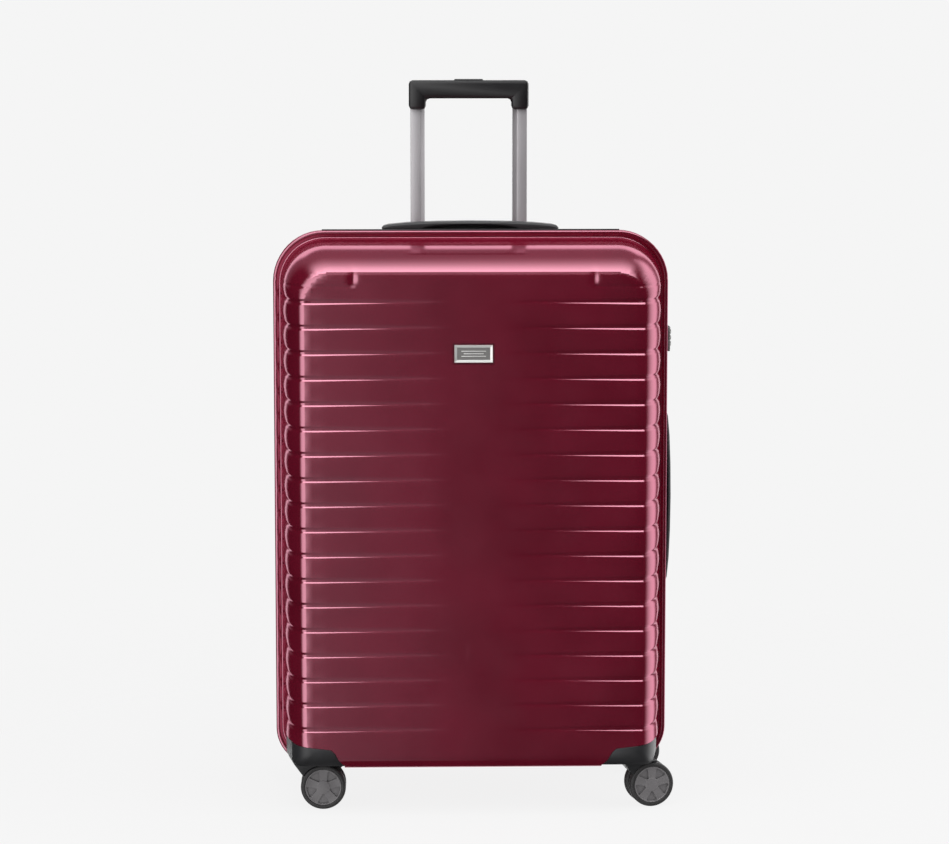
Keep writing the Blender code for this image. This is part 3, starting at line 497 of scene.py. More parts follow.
# %% The sizes of the tray
shell_low, shell_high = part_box("front_shell")
RIM_X = shell_high.x
RIM_LOW, RIM_HIGH = shell_low.z, shell_high.z
CORNERS = {1: 65 * MM, -1: 50 * MM}  # the rim's corner radii, at the top and at the foot
SHRINK = 0.7  # a ring's corners lose this share of what it is drawn in by
WALL_START, WALL_END = 12 * MM, 58 * MM
FACE_DEPTH = -shell_low.y
WALL_LEAN = 0.095  # the wall leans in by this share of its depth
STEP_IN = 10 * MM  # from the rim to the foot of the wall
WALL_INSET = STEP_IN + WALL_LEAN * (WALL_END - WALL_START)
FACE_INSET = 44.5 * MM
ROLL_DEPTH, ROLL_SIDE, ROLL_TOP = FACE_DEPTH - WALL_END, FACE_INSET - WALL_INSET, 7 * MM
BEAD = [
    (3.0, 1.3, 0), (3.3, 0.4, 0), (4.1, 0.0, 0), (8.6, 0.0, 0), (9.8, 0.35, 0), (10.6, 1.3, 0),
    (10.9, 2.6, 0), (10.8, 4.6, 0), (10.3, 6.0, 0), (9.5, 6.9, 0), (9.2, 8.2, 0), (9.7, 9.2, 0),
    (11.0, 9.8, 0), (13.0, 10.1, 0), (17.0, 10.475, 0),
]
rings = [tuple(v * MM for v in ring) for ring in BEAD]  # each: depth, inset, drop at the top
BEAD_END, WALL_STEPS, ROLL_STEPS = 0.017, 4, 14
for step in range(1, WALL_STEPS + 1):
    depth = BEAD_END + (WALL_END - BEAD_END) * step / WALL_STEPS
    rings.append((depth, STEP_IN + WALL_LEAN * (depth - WALL_START), 0))
for step in range(1, ROLL_STEPS + 1):
    turn = pi / 2 * step / ROLL_STEPS
    rings.append((
        WALL_END + ROLL_DEPTH * sin(turn),
        WALL_INSET + ROLL_SIDE * (1 - cos(turn)),
        ROLL_TOP * (1 - cos(turn)),
    ))
print(len(rings), "rings from the mouth to the face")


# %% A rounded plane, extruded ring by ring
def rounded_plane(name, half_x, low_z, high_z, corners, y, segments):
    """A plane that faces the front, its top and bottom corners rounded."""
    clear()
    bpy.ops.mesh.primitive_plane_add(
        size=1, location=(0, y, (low_z + high_z) / 2), rotation=(pi / 2, 0, 0)
    )
    plane = bpy.context.object
    plane.scale = (2 * half_x, high_z - low_z, 1)
    settle(plane, name)
    middle = (low_z + high_z) / 2
    for end, radius in corners.items():
        choose(plane, "VERT", lambda place, way: (place.z - middle) * end > 0.4 * (high_z - low_z))
        bpy.ops.mesh.bevel(
            offset=radius, segments=segments, affect="VERTICES", offset_type="OFFSET"
        )
        done(plane)
    return plane


def drawn_in(x, z, half_x, low_z, high_z, corners, inset, extra):
    """Where a point of the outermost outline goes on a ring that is drawn in."""
    end = 1 if z > (low_z + high_z) / 2 else -1
    side = 1 if x > 0 else -1
    radius = corners[end]
    small = radius - SHRINK * inset
    edge = high_z if end > 0 else low_z
    normal = Vector((x - side * (half_x - radius), z - (edge - end * radius))) / radius
    top_drop = extra if end > 0 else 0
    return (
        side * (half_x - inset - small) + small * normal.x,
        edge - end * (inset + small) - top_drop + small * normal.y,
    )


def tray(name, half_x, low_z, high_z, corners, ring_list, segments=12):
    """A closed-faced tray with its mouth at the split and its face towards the front."""
    first = ring_list[0][0]
    piece = rounded_plane(name, half_x, low_z, high_z, corners, -first, segments)
    for last, ring in zip(ring_list, ring_list[1:]):
        middle = -last[0]
        choose(piece, "FACE", lambda place, way: way.y < -0.9 and abs(place.y - middle) < 1e-5)
        bpy.ops.mesh.extrude_region_move(
            TRANSFORM_OT_translate={"value": (0, last[0] - ring[0] - 1e-9, 0)}
        )
        done(piece)
    choose(piece, "FACE", lambda place, way: abs(way.y) > 0.9 and abs(place.y + first) < 1e-5)
    bpy.ops.mesh.delete(type="ONLY_FACE")
    done(piece)
    points = piece.data.vertices
    per_ring = len(points) // len(ring_list)
    for point in points:
        number = min(range(len(ring_list)), key=lambda n: abs(ring_list[n][0] + point.co.y))
        depth, inset, extra = ring_list[number]
        point.co.x, point.co.z = drawn_in(
            point.co.x, point.co.z, half_x, low_z, high_z, corners, inset, extra
        )
    print(name, "has", len(ring_list), "rings of", per_ring, "points")
    return piece


# %% [markdown]
# ## Grooves and swellings
#
# A groove is a shallow channel with softly sloping sides. It is full width at the walls and
# runs out to a point beside the smooth middle of the face. Rows are cut where its section
# bends, and the points between are pressed in along the surface's own direction. In each top
# corner a short step and a shallow dimple end the row of grooves.

# %% Cutting rows and columns
PITCH, FIRST_GROOVE, GROOVES = 32.1 * MM, 657.3 * MM, 18
SECTION = [  # millimetres from the middle of a groove, and the share of its full depth
    (0, 1.0), (0.9, 0.96), (1.8, 0.78), (2.8, 0.42), (3.8, 0.12), (4.8, 0), (6.6, 0), (10.6, 0)
]
GROOVE_DEEP, SCALLOP = 1.85 * MM, 2.6 * MM
GROOVE_IN, GROOVE_OUT = 50 * MM, 196 * MM
DIMPLE_X, DIMPLE_Z = 151 * MM, 684 * MM
STEP_Z = 676.5 * MM
# Rows cut for the step and the dimple, and columns cut on both sides, all in millimetres.
STEP_ROWS = (-2.6, -1.6, -0.6, 0.6, 1.6, 2.6, 4.5, 7, 9.5, 12, 15, 18)
COLUMNS = (
    0, 25, 50, 57, 66, 80, 100, 122, 138, 143, 146, 149, 152, 155, 158, 163, 172, 184, 196, 203
)


def cut(piece, place, way):
    bpy.ops.mesh.select_all(action="SELECT")
    bpy.ops.mesh.bisect(plane_co=place, plane_no=way)


def cut_grid(piece):
    offsets = sorted({side * MM * at for at, _ in SECTION for side in (-1, 1)} | {PITCH / 2})
    rows = [FIRST_GROOVE - PITCH * n + at for n in range(GROOVES) for at in offsets]
    rows += [STEP_Z + MM * at for at in STEP_ROWS]
    choose(piece, "FACE")
    for row in rows:
        cut(piece, (0, 0, row), (0, 0, 1))
    for column in COLUMNS:
        for side in (-1, 1) if column else (1,):
            cut(piece, (side * column * MM, 0, 0), (1, 0, 0))
    done(piece)


# %% Pressing the grooves
def section(distance):
    """How deep the groove is at this distance from its middle, from 0 to 1."""
    for (a, deep_a), (b, deep_b) in zip(SECTION, SECTION[1:]):
        if distance <= b * MM:
            return deep_a + (deep_b - deep_a) * (distance / MM - a) / (b - a)
    return 0.0


def ramp(value, low, high):
    share = min(max((value - low) / (high - low), 0), 1)
    return share * share * (3 - 2 * share)


CORNER_FADE = 60 * MM  # how far along a corner the swellings fade out
FLAT_PRESS = 0.25 * MM  # how far the face sinks over a whole groove pitch
STEP_DEEP, STEP_HALF, DIMPLE_DEEP = 0.7 * MM, 2.6 * MM, 1.7 * MM
DIMPLE_WIDE, DIMPLE_UP, DIMPLE_DOWN = 2.8 * MM, 12 * MM, 3.5 * MM


def press(piece):
    """Presses the grooves, the swellings between them and the two corner dimples."""
    top_middle = RIM_HIGH - CORNERS[1]
    hold_from, hold_to = WALL_START - 2.2 * MM, WALL_START + 3 * MM
    for point in piece.data.vertices:
        x, depth, z = point.co.x, -point.co.y, point.co.z
        if depth < hold_from:
            continue
        roll = asin(min(max((depth - WALL_END) / ROLL_DEPTH, 0), 1))
        lift = max(z - top_middle, 0, RIM_LOW + CORNERS[-1] - z)
        sideways = cos(min(lift / CORNER_FADE, 1) * pi / 2) if abs(x) > 0.2 else 0
        on_face = depth > FACE_DEPTH - 1e-6
        number = min(max(round((FIRST_GROOVE - z) / PITCH), 0), GROOVES - 1)
        middle = FIRST_GROOVE - PITCH * number
        away = abs(z - middle)
        press_in = 0.0
        if away <= PITCH / 2 + 1e-6 and (on_face or sideways):
            reach = (abs(x) - GROOVE_IN) / (GROOVE_OUT - GROOVE_IN) if on_face else 1
            reach = min(max(reach, 0), 1)
            hold = ramp(depth, hold_from, hold_to)
            press_in += GROOVE_DEEP * section(away) * reach ** 0.8 * hold
            swell = (1 + cos(2 * pi * away / PITCH)) / 2
            wall_share = 1 - ramp(depth, 0.05, FACE_DEPTH)
            press_in += SCALLOP * swell * (0.9 * wall_share + 0.1 * reach) * sideways * hold
            if on_face:
                press_in += FLAT_PRESS * swell * reach
                if away < 4.2 * MM:
                    point.co.z = middle + (z - middle) * (0.4 + 0.6 * reach)
        elif abs(z - STEP_Z) < 1.7 * MM and abs(x) > DIMPLE_X and (on_face or sideways):
            press_in += STEP_DEEP * (1 - abs(z - STEP_Z) / STEP_HALF)
        if z > STEP_Z - 6 * MM and depth > WALL_END:
            across = (abs(x) - DIMPLE_X) / DIMPLE_WIDE
            rise = (z - DIMPLE_Z) / (DIMPLE_UP if z > DIMPLE_Z else DIMPLE_DOWN)
            press_in += DIMPLE_DEEP * 2.72 ** -(across * across + rise * rise)
        side = 1 if x > 0 else -1
        flank = 0 if on_face or not sideways else cos(roll)
        point.co.x -= side * press_in * flank
        point.co.y += press_in * (sin(roll) if not on_face else 1)


# %% [markdown]
# ### Openings in the shells
#
# The wheel housings stand in the lower corners of the shells, and the rear shell has wells for
# the trolley, the two carry handles and the lock. A tool of the right shape is taken out of the
# sheet for each. The front shell has a shallow seat for the badge instead.

# %% Corner tools and wells
GAP, WELL_GAP = 0.35 * MM, 0.3 * MM  # left round the housings, and round the inset parts
HOUSING = [  # the corner housing's upper outline, as (x, z), from its inner foot outwards
    (0.165, 0.0603), (0.165, 0.0615), (0.172, 0.0715),
    (0.1765, 0.0805), (0.182, 0.0855), (0.236, 0.092),
]
HOUSING_BACK = 0.046  # how far from the split its back is


def corner_tool(side, front):
    """A prism of the corner housing's outline, a little wider all round for the gap."""
    low_z, far = RIM_LOW - 0.01, RIM_X + 0.01
    outline = [(HOUSING[0][0] - GAP, low_z)]
    outline += [(x - GAP, z + GAP) for x, z in HOUSING[1:]]
    outline += [(far, HOUSING[-1][1] + GAP), (far, low_z)]
    clear()
    bpy.ops.mesh.primitive_circle_add(vertices=len(outline), fill_type="NGON")
    tool = settle(bpy.context.object, "corner_tool")
    near, beyond = -HOUSING_BACK + GAP, -FACE_DEPTH - 0.02
    for point, (x, z) in zip(tool.data.vertices, outline):
        point.co = (x, near, z)
    choose(tool, "FACE")
    bpy.ops.mesh.select_all(action="SELECT")
    bpy.ops.mesh.extrude_region_move(TRANSFORM_OT_translate={"value": (0, beyond - near, 0)})
    done(tool)
    tool.data.transform(Matrix.Diagonal((side, front, 1, 1)))
    return outward(tool)


def well(node, beyond, axis=2):
    """A tool a little bigger than a node's box, which runs out of the shell along the axis."""
    a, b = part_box(node)
    a, b = a - Vector((WELL_GAP,) * 3), b + Vector((WELL_GAP,) * 3)
    b[axis] = beyond
    tool = block("well_tool", a, b)
    choose(tool, "EDGE", lambda place, way: abs(way[axis]) > 0.9)
    bpy.ops.mesh.bevel(offset=3 * MM, segments=4, affect="EDGES")
    return done(tool)


print("the housings leave a gap of", round(GAP / MM, 2), "mm in the shells")

# %% The two skins and the badge seat
SHEET = 2 * MM
front_skin = tray("front_shell_skin", RIM_X, RIM_LOW, RIM_HIGH, CORNERS, rings)
cut_grid(front_skin)
press(front_skin)
outward(front_skin)
modify(front_skin, "SOLIDIFY", thickness=SHEET, offset=-1, use_even_offset=False)
rear_skin = copy_of(front_skin, "rear_shell_skin", FRONT_TO_REAR)
carve(front_skin, corner_tool(1, 1), corner_tool(-1, 1))
seat_low, seat_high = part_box("badge_plate")
EDGE = 2.6 * MM
ABOVE, BESIDE = 0.76, 0.3  # planes clear of the case, over it and beside it
seat = block(
    "badge_seat",
    (seat_low.x - EDGE, seat_low.y - 0.01, seat_low.z - EDGE),
    (seat_high.x + EDGE, -FACE_DEPTH + 1.8 * MM, seat_high.z + EDGE),
)
choose(seat, "EDGE", lambda place, way: abs(way.y) > 0.9)
bpy.ops.mesh.bevel(offset=2 * MM, segments=4, affect="EDGES")
done(seat)
carve(front_skin, seat)
carve(
    rear_skin,
    corner_tool(1, -1), corner_tool(-1, -1),
    well("trolley_bezel", ABOVE), well("top_handle_base", ABOVE),
    well("side_handle_base", BESIDE, 0), well("lock_body", BESIDE, 0),
)
for skin, end in ((front_skin, "front"), (rear_skin, "rear")):
    smooth(skin, 50)
    dress(skin, shell, f"{end}_half", f"{end}_shell")
    print(skin.name, len(skin.data.polygons), "faces")


# %% [markdown]
# ## Badge
#
# The badge is a small plate in a seat near the top of the face: a bright frame whose sides
# slope in to a sunken dark field, made by insets of one block. The field carries only three
# plain raised lines.

# %% Badge plate
plate_low, plate_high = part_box("badge_plate")
badge = block("badge_frame", plate_low, plate_high)
choose(badge, "FACE", lambda place, way: way.y < -0.99)
for thickness, depth in ((0.5, 0), (2.6, -0.8), (0.2, -0.25)):
    bpy.ops.mesh.inset(thickness=thickness * MM, depth=depth * MM)
done(badge)
middle = (plate_low + plate_high) / 2
field_y = plate_low.y + 1.05 * MM
HALF_LINE = Vector((0, 0.3 * MM, 0.55 * MM))
lines = []
for reach, up in ((15.5, 3.2), (12.5, 0), (15.5, -3.2)):
    spot, arm = Vector((0, field_y, middle.z + up * MM)), Vector((reach * MM, 0, 0))
    lines.append(block("line", spot - arm - HALF_LINE, spot + arm + HALF_LINE))
lines = soften(join(*lines), 0.2 * MM, 2)
smooth(join(badge, lines), 25)
for face in badge.data.polygons:
    face.use_smooth = face.area < (3 * MM) ** 2
badge.name = "badge_frame"
dress(badge, badge_metal, "front_half", "badge_plate")
badge.data.materials.append(dark_metal.material)
for face in badge.data.polygons:
    if face.normal.y < -0.9 and face.center.y > field_y - 0.1 * MM:
        face.material_index = 1
print("badge of", len(badge.data.polygons), "faces")

# %% [markdown]
# ## Corner housings
#
# Each lower corner is a black moulded block that carries a caster. It is flush with the shell,
# so the measured solid is right: only its edges need rounding and its surface a grain.

# %% Corner housings and forks
CASTERS = ("front_left", "front_right", "rear_left", "rear_right")
for caster in CASTERS:
    half = "front_half" if "front" in caster else "rear_half"
    housing = refined(caster + "_corner_block", caster + "_housing", 0.7 * MM)
    dress(housing, plastic, half, caster + "_housing")
    yoke = refined(caster + "_yoke", caster + "_fork", 1.1 * MM, 3)
    dress(yoke, plastic, caster + "_caster", caster + "_fork")
    refinish(steel, caster + "_axle")

# %% [markdown]
# ## Wheels
#
# Every caster has two wheels on one axle. A wheel is a grey hub pressed into a black tyre. The
# hub's face has a rim, a shallow dish and five pockets, which are rounded triangles. The tyre
# is a rounded section spun round the axle. One outer wheel is made and copied to all eight
# places.

# %% One hub
hub_low, hub_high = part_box("front_left_outer_hub")
tyre_low, tyre_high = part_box("front_left_outer_tyre")
axle = Vector(((tyre_low.x + tyre_high.x) / 2, 0, (tyre_low.z + tyre_high.z) / 2))
HUB_RADIUS = (hub_high.x - hub_low.x) / 2 - 0.2 * MM
ROUND = 72  # sides of a hub and steps of a tyre
hub_middle = (axle.x, (hub_low.y + hub_high.y) / 2, axle.z)
disc = drum("hub_disc", hub_middle, HUB_RADIUS, hub_high.y - hub_low.y, "Y", ROUND)
choose(disc, "FACE", lambda place, way: way.y < -0.9)
for thickness, depth in ((1.3, 0), (0.6, -0.6), (12.6, 0), (0.6, 0.6)):
    bpy.ops.mesh.inset(thickness=thickness * MM, depth=depth * MM)
done(disc)
soften(disc, 0.3 * MM, 2, 35)
POCKETS, POCKET_OUT = 5, 16.6 * MM
pockets = []
for number in range(POCKETS):
    turn = radians(270 + 360 / POCKETS * number)
    clear()
    bpy.ops.mesh.primitive_cylinder_add(vertices=3, radius=9.4 * MM, depth=4 * MM)
    pocket = settle(bpy.context.object, "pocket")
    choose(pocket, "EDGE", lambda place, way: abs(way.z) > 0.9)
    bpy.ops.mesh.bevel(offset=3.3 * MM, segments=5, affect="EDGES")
    done(pocket)
    out = Vector((cos(turn), 0, sin(turn)))
    lay = Matrix(((out.z, -out.x, 0), (0, 0, 1), (-out.x, -out.z, 0))).to_4x4()
    middle = Vector((axle.x, hub_low.y + 0.6 * MM, axle.z)) + POCKET_OUT * out
    pocket.data.transform(Matrix.Translation(middle) @ lay)
    pockets.append(pocket)
carve(disc, *pockets)
smooth(disc, 30)

# %% One tyre
clear()
bpy.ops.mesh.primitive_plane_add(size=1, location=(0, 0, 0))
ring = bpy.context.object
TREAD_IN = HUB_RADIUS + 0.25 * MM
TREAD_OUT = (tyre_high.x - tyre_low.x) / 2
ring.scale = (TREAD_OUT - TREAD_IN, tyre_high.y - tyre_low.y, 1)
ring.location = (axle.x + (TREAD_OUT + TREAD_IN) / 2, (tyre_low.y + tyre_high.y) / 2, axle.z)
settle(ring, "tyre_ring")
choose(ring, "VERT", lambda place, way: place.x > axle.x + TREAD_OUT - MM)
bpy.ops.mesh.bevel(offset=3.2 * MM, segments=6, affect="VERTICES")
done(ring)
choose(ring, "VERT", lambda place, way: place.x < axle.x + TREAD_IN + 0.5 * MM)
bpy.ops.mesh.bevel(offset=0.8 * MM, segments=2, affect="VERTICES")
bpy.ops.mesh.select_all(action="SELECT")
bpy.ops.mesh.delete(type="ONLY_FACE")
bpy.ops.mesh.select_all(action="SELECT")
bpy.ops.mesh.spin(steps=ROUND, angle=tau, center=axle, axis=(0, 1, 0), use_auto_merge=True)
done(ring)
smooth(outward(ring), 40)
print("hub", len(disc.data.polygons), "faces, tyre", len(ring.data.polygons), "faces")

# %% Wheels on every caster
swivels = {joint["child"]: joint for joint in frame["joints"]}
TURNED = radians(12)  # one caster stands a little askew
home = Vector(swivels["front_left_caster"]["pos_m"])
home.z = 0
wheel_parts = (disc, hub, "hub", "hub"), (ring, rubber, "tyre", "rubber")
for caster in CASTERS:
    there = Vector(swivels[caster + "_caster"]["pos_m"])
    there.z = 0
    yaw = TURNED if caster == "front_right" else 0
    move = Matrix.Translation(there) @ Matrix.Rotation(yaw, 4, "Z") @ Matrix.Translation(-home)
    mirror = Matrix.Translation(home) @ FRONT_TO_REAR @ Matrix.Translation(-home)
    for wheel, place in (("outer", move), ("inner", move @ mirror)):
        body = f"{caster}_{wheel}_wheel"
        for part, finish, kind, slot in wheel_parts:
            twin = copy_of(part, f"{caster}_{wheel}_{kind}_trim", place)
            smooth(twin, 30)
            dress(twin, finish, body, f"{caster}_{wheel}_{kind}")
for part in (disc, ring):
    bpy.data.objects.remove(part)

# %% [markdown]
# ## Trolley
#
# Two drawn tubes slide in two larger ones inside the rear half. Their front edges are planed
# off, which shows as a second, darker stripe. A satin black grip joins them, with a button in
# its crown, and a black tray in the top of the case takes the grip when it is pushed down.

# %% Tubes, grip, button and tray
for side in ("left", "right"):
    slide = refined(f"sliding_tube_{side}", f"inner_tube_{side}", 0.5 * MM)
    dress(slide, tube, "trolley", f"inner_tube_{side}")
refinish(tube, "outer_tube_left", "outer_tube_right")
refinish(plastic, "tube_foot_bar")
refinish(steel, "release_rod_left", "release_rod_right", "lock_spindle")
handle = refined("trolley_handle", "trolley_grip", 1.4 * MM, 3, 25)
dress(handle, grip, "trolley", "trolley_grip")
button = refined("release_button", "grip_button", 1.2 * MM, 3, 25)
dress(button, plastic, "release", "grip_button")
bezel = refined("trolley_tray", "trolley_bezel", 0.8 * MM)
dress(bezel, plastic, "rear_half", "trolley_bezel")

# %% [markdown]
# ## Carry handles
#
# The top and side handles are the same part: a thin bow over a scooped tray, on two short legs
# that let it lift a little in the hand.

# %% Handles
for side in ("top", "side"):
    bow = refined(f"{side}_bow", f"{side}_handle_grip", 1.6 * MM, 3, 20)
    dress(bow, plastic, f"{side}_handle", f"{side}_handle_grip")
    base = refined(f"{side}_tray", f"{side}_handle_base", 0.8 * MM, 2, 25)
    dress(base, plastic, "rear_half", f"{side}_handle_base")

# %% [markdown]
# ## Lock
#
# The three-dial lock stands on the side of the rear half. Each dial is a drum with ten flats
# and a rib between each pair. The flats carry the digits 0 to 9, cut from the plain built-in
# font and made a mesh.

# %% Lock body and button
dress(refined("lock_case", "lock_body", 0.8 * MM), plastic, "rear_half", "lock_body")
dress(refined("lock_push", "lock_button", 0.8 * MM), steel, "lock_catch", "lock_button")


# %% Dials
DIAL_SIDES = 40


def dial(number):
    """A drum with a flat pressed in for each digit, and the digits standing on the flats."""
    low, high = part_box(f"lock_dial_{number}")
    centre, radius = (low + high) / 2, (high.x - low.x) / 2
    piece = drum(f"digit_dial_{number}", centre, radius, high.z - low.z, "Z", DIAL_SIDES)

    def is_flat(place, way):
        turn = Vector((way.x, way.y)).angle_signed(Vector((1, 0))) if abs(way.z) < 0.1 else None
        return turn is not None and round(turn / tau * DIAL_SIDES - 0.5) % 4 == 0

    choose(piece, "FACE", is_flat)
    bpy.ops.mesh.inset(thickness=0.2 * MM, depth=-0.5 * MM, use_individual=True)
    done(piece)
    soften(piece, 0.2 * MM, 1, 35)
    piece.data.materials.append(steel.material)
    for digit in range(10):
        clear()
        bpy.ops.object.text_add(rotation=(pi / 2, 0, pi / 2))
        text = bpy.context.object
        text.data.body, text.data.size = str(digit), 4.2 * MM
        text.data.align_x = text.data.align_y = "CENTER"
        text.data.extrude, text.data.resolution_u = 0.12 * MM, 3
        bpy.ops.object.convert(target="MESH")
        settle(text, "digit")
        turn = Matrix.Rotation(tau * (digit + number) / 10, 4, "Z")
        text.data.transform(Matrix.Translation((radius - 0.05 * MM, 0, 0)))
        text.data.transform(Matrix.Translation(centre) @ turn)
        text.data.materials.append(badge_metal.material)
        piece = join(piece, text)
    piece.name = f"digit_dial_{number}"
    return piece


for number in (1, 2, 3):
    knob = dial(number)
    marks = [face.material_index for face in knob.data.polygons]
    dress(knob, dark_metal, f"dial_{number}", f"lock_dial_{number}")
    knob.data.materials.append(badge_metal.material)
    knob.data.polygons.foreach_set("material_index", marks)
    smooth(knob, 30)
print("dials done")

# %% [markdown]
# ## Zip
#
# Between the two lips runs the zip: a woven tape sewn inside each lip and a row of coil teeth
# on each tape. One tooth is shaped and repeated round the rim. The two sliders meet at the
# lock. Along the other side a hinge tape joins the halves; it is carried by neither half. A
# thin black strip lies over the rear teeth along the straight top.

# %% Tapes and teeth
def band(name, inset, low_y, high_y, thickness):
    """A loop of the rim's outline, drawn in by the inset and given a width along y."""
    corners = {end: radius - SHRINK * inset for end, radius in CORNERS.items()}
    loop = rounded_plane(name, RIM_X - inset, RIM_LOW + inset, RIM_HIGH - inset, corners, low_y, 12)
    choose(loop, "FACE")
    bpy.ops.mesh.select_all(action="SELECT")
    bpy.ops.mesh.delete(type="ONLY_FACE")
    bpy.ops.mesh.select_mode(type="EDGE")
    bpy.ops.mesh.select_all(action="SELECT")
    bpy.ops.mesh.extrude_region_move(TRANSFORM_OT_translate={"value": (0, high_y - low_y, 0)})
    done(loop)
    outward(loop)
    return modify(loop, "SOLIDIFY", thickness=thickness, offset=0)


def rim_walk(inset, pitch):
    """Places along the rim's outline at even steps, each with the angle of its normal."""
    legs = []
    for side, end in ((1, 1), (-1, 1), (-1, -1), (1, -1)):
        radius = CORNERS[end] - SHRINK * inset
        edge = (RIM_HIGH - inset - radius) if end > 0 else (RIM_LOW + inset + radius)
        start = {(1, 1): 0, (-1, 1): 90, (-1, -1): 180, (1, -1): 270}[side, end]
        legs.append((Vector((side * (RIM_X - inset - radius), 0, edge)), radius, radians(start)))
    path = []
    for n, (centre, radius, start) in enumerate(legs):
        steps = ceil(radius * pi / 2 / pitch)
        for i in range(steps):
            turn = start + pi / 2 * i / steps
            path.append((centre + radius * Vector((cos(turn), 0, sin(turn))), turn))
        after, next_radius, next_start = legs[(n + 1) % 4]
        way = Vector((cos(next_start), 0, sin(next_start)))
        a, b = centre + radius * way, after + next_radius * way
        steps = ceil((b - a).length / pitch)
        path += [(a + (b - a) * i / steps, next_start) for i in range(steps)]
    return path


for name, front in (("front", -1), ("rear", 1)):
    edges = sorted((front * 0.5 * MM, front * 2.65 * MM))
    ribbon = band(f"{name}_tape", 1.6 * MM, *edges, 0.7 * MM)
    smooth(ribbon, 40)
    dress(ribbon, tape, f"{name}_half", f"{name}_zip_tape")
    tooth = block("tooth", (-0.45 * MM, -0.1 * MM, -0.55 * MM), (0.45 * MM, 1.35 * MM, 0.55 * MM))
    soften(tooth, 0.25 * MM, 1)
    tooth.data.transform(Matrix.Diagonal((1, front, 1, 1)))
    places = [
        Matrix.Translation(place) @ Matrix.Rotation(-turn, 4, "Y")
        for place, turn in rim_walk(0.9 * MM, 2.4 * MM)
    ]
    chain = repeat(tooth, f"{name}_teeth", places)
    outward(chain)
    smooth(chain, 40)
    dress(chain, plastic, f"{name}_half", ())
    print(chain.name, len(places), "teeth")

# %% Hinge tape and sliders
hinge_low, hinge_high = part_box("hinge_tape")
web_near, web_far = hinge_low.x + 2.2 * MM, hinge_low.x + 3.0 * MM
fold = block(
    "hinge_web", (web_near, hinge_low.y, hinge_low.z), (web_far, hinge_high.y, hinge_high.z)
)
choose(fold, "FACE")
for step in range(1, 10):
    cut(fold, (0, hinge_low.y + (hinge_high.y - hinge_low.y) * step / 10, 0), (0, 1, 0))
done(fold)
smooth(fold, 40)
dress(fold, tape, None, "hinge_tape")
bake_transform(fold)
for end in ("upper", "lower"):
    runner = refined(f"{end}_zip_runner", f"zip_slider_{end}", 0.6 * MM, 2)
    dress(runner, dark_metal, f"{end}_slider", f"zip_slider_{end}")
# A thin black strip lies over the rear teeth along the straight top of the rim.
TOP_STRIP_X = 0.193
top_strip = block("top_black_strip", (-TOP_STRIP_X, 0.2 * MM, 0.7365), (TOP_STRIP_X, 2.6 * MM, 0.7394))
soften(top_strip, 0.6 * MM, 2)
smooth(top_strip, 40)
dress(top_strip, plastic, "rear_half", ())

# %% [markdown]
# ## Linings and the packing strap
#
# A lining is cut from one piece of thin twill and stretched inside its half, stitched round the
# mouth and glued at the corners. It is the same kind of tray as the shell, with a slack of
# about a millimetre pressed in by smooth noise, and a wall as thin as cloth.

# %% Two linings
CLOTH_CORNERS = {1: 45 * MM, -1: 40 * MM}
SLACK = 0.55 * MM


def cloth_tray(name, node, front, profile):
    low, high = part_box(node)
    rows = [(depth * MM, inset * MM, 0) for depth, inset in profile]
    piece = tray(name, high.x, low.z, high.z, CLOTH_CORNERS, rows, 8)
    choose(piece, "FACE")
    for n in range(1, 30):
        cut(piece, (0, 0, low.z + (high.z - low.z) * n / 30), (0, 0, 1))
    for n in range(1, 22):
        cut(piece, (low.x + (high.x - low.x) * n / 22, 0, 0), (1, 0, 0))
    done(piece)
    outward(piece)
    mouth = rows[0][0]
    for point in piece.data.vertices:
        slack = ramp(-point.co.y, mouth, mouth + 0.03)
        wave = noise.noise(point.co * 14) + 0.5 * noise.noise(point.co * 37)
        point.co -= point.normal * (SLACK * slack * (wave + 1.2))
    modify(piece, "SUBSURF", levels=1, render_levels=1)
    modify(piece, "SOLIDIFY", thickness=0.9 * MM, offset=-1)
    if front < 0:
        piece.data.transform(FRONT_TO_REAR)
        outward(piece)
    smooth(piece, 60)
    return piece


front_cloth = cloth_tray("front_lining_cloth", "front_lining", 1, [
    (6, 0), (8, 0.1), (14, 0.4), (40, 2), (80, 5), (112, 8), (124, 10), (131, 13.5),
    (135, 18), (136.6, 25),
])
rear_cloth = cloth_tray("rear_lining_cloth", "rear_lining", -1, [
    (6, 0), (8, 0.1), (14, 0.4), (40, 2), (66, 4), (80, 6), (87, 10), (90.4, 16), (91.2, 24),
])
for cloth, end in ((front_cloth, "front"), (rear_cloth, "rear")):
    dress(cloth, lining, f"{end}_half", f"{end}_lining")

# %% Strap and buckle
strap_low, strap_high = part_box("packing_strap")
belt = block("packing_belt", strap_low, strap_high)
choose(belt, "FACE")
for step in range(1, 40):
    cut(belt, (strap_low.x + (strap_high.x - strap_low.x) * step / 40, 0, 0), (1, 0, 0))
done(belt)
RIPPLE, BUCKLE_X = 1.4 * MM, 0.03
for point in belt.data.vertices:
    if abs(point.co.x) > BUCKLE_X:
        point.co.y -= RIPPLE * (1 + cos(4 * pi * point.co.x / 0.2)) / 2
soften(belt, 0.3 * MM, 1, 60)
smooth(belt, 50)
dress(belt, strap, "rear_half", "packing_strap")
buckle = refined("belt_buckle", "strap_buckle", 1.0 * MM, 3)
dress(buckle, plastic, "rear_half", "strap_buckle")


# %% [markdown]
# ## Camera, light and floor
#
# The case is seen from nearly 4 metres through a long lens, a little from above. A pale floor
# melts into a pale backdrop. Three broad panels light the surfaces, but glossy rays don't see
# them. What the gloss mirrors is the world: soft gradients above and on both sides, which draw
# the bright lines along the upper roll of the shell and down its flanks.

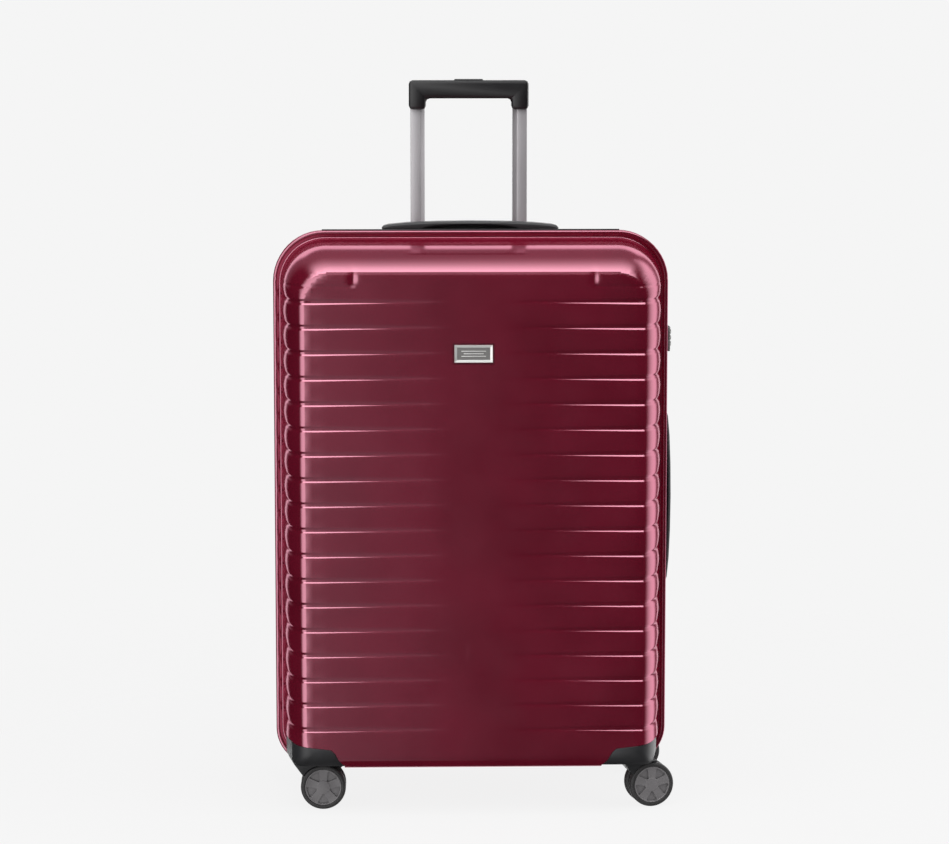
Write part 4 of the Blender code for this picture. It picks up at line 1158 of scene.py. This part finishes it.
# %% Camera
clear()
bpy.ops.object.camera_add(
    location=(-0.099, -3.969, 0.975), rotation=(radians(83), 0, radians(-1.5))
)
camera = bpy.context.object
camera.data.lens = 116.2
camera.data.sensor_width = 36
bpy.context.scene.camera = camera


# %% Lights
def panel(name, place, aim, size, power):
    clear()
    bpy.ops.object.light_add(type="AREA", location=place)
    lamp = bpy.context.object
    lamp.name = name
    lamp.data.shape = "RECTANGLE"
    lamp.data.size, lamp.data.size_y = size
    lamp.data.energy = power
    lamp.visible_glossy = False
    lamp.rotation_euler = (Vector(aim) - Vector(place)).to_track_quat("-Z", "Y").to_euler()


panel("top_panel", (0, -1.2, 2.6), (0, -1.19, 0.7), (2.6, 2.2), 50)
panel("left_panel", (-2.4, -2.2, 1.0), (0, 0, 0.4), (1.3, 2.2), 24)
panel("right_panel", (2.6, -0.3, 0.9), (0, -0.1, 0.5), (2.4, 2.0), 36)

# %% Floor and backdrop
PALE = 0.913
clear()
bpy.ops.mesh.primitive_circle_add(vertices=96, radius=1.6, fill_type="NGON")
floor = settle(bpy.context.object, "floor")
floor.visible_glossy = False
ground = Finish("pale_floor", Roughness=0.9, Specular_IOR_Level=0.0)
x, y, z = ground.axes()
out = (x * x + y * y).root()
ground.set("Base Color", (0.06, 0.06, 0.06, 1))
ground.set("Emission Color", (PALE, PALE, PALE, 1)).set("Emission Strength", 0.94)
ground.set("Alpha", 1 - out.between(0.5, 1.5))
floor.data.materials.append(ground.material)


class Room(Finish):
    """The world, built with the same node maker. Place is here the direction looked in."""

    def __init__(self, world):
        world.use_nodes = True
        self.tree = world.node_tree
        self.shader = self.tree.nodes["Background"]
        self.place = self.node("TexCoord", output="Generated")


world = bpy.data.worlds.new("soft_room")
bpy.context.scene.world = world
room = Room(world)
x, y, z = room.axes()
upward = z.maths("ARCTAN2", z, y * -1)
sideways = x.maths("ARCTAN2", x, y * -1)
leftward = sideways * -1
level = 1 - z.size().between(0.45, 0.8)
ceiling = upward.between(0.74, 0.84) * ((1 - upward.between(0.84, 2.3)) * 3.2 + 0.3)
ceiling = ceiling * (1 - x.size().between(0.4, 0.7))
right_glow = sideways.between(1.1, 2.4) * (1 - sideways.between(2.45, 2.68)) * level * 2.3
left_glow = leftward.between(0.07, 0.35) * (1 - leftward.between(0.8, 1.35)) * level * 1.9
left_haze = leftward.between(-0.01, 0.05) * (1 - leftward.between(0.5, 1.0)) * 0.32
backdrop = sideways.size().between(2.72, 2.84) * (1 - z.size().between(0.38, 0.48)) * 2.2
mirrored = ceiling + right_glow + left_glow + left_haze + backdrop + 0.005
from_eye = room.node("LightPath", output="Is Camera Ray")
from_gloss = room.node("LightPath", output="Is Glossy Ray")
soft = room.mix(from_gloss, (0.45, 0.45, 0.46), mirrored)
room.set("Color", room.mix(from_eye, soft, (PALE, PALE, PALE)))
bpy.context.scene.view_settings.view_transform = "Standard"
print("camera at", [round(v, 3) for v in camera.location])
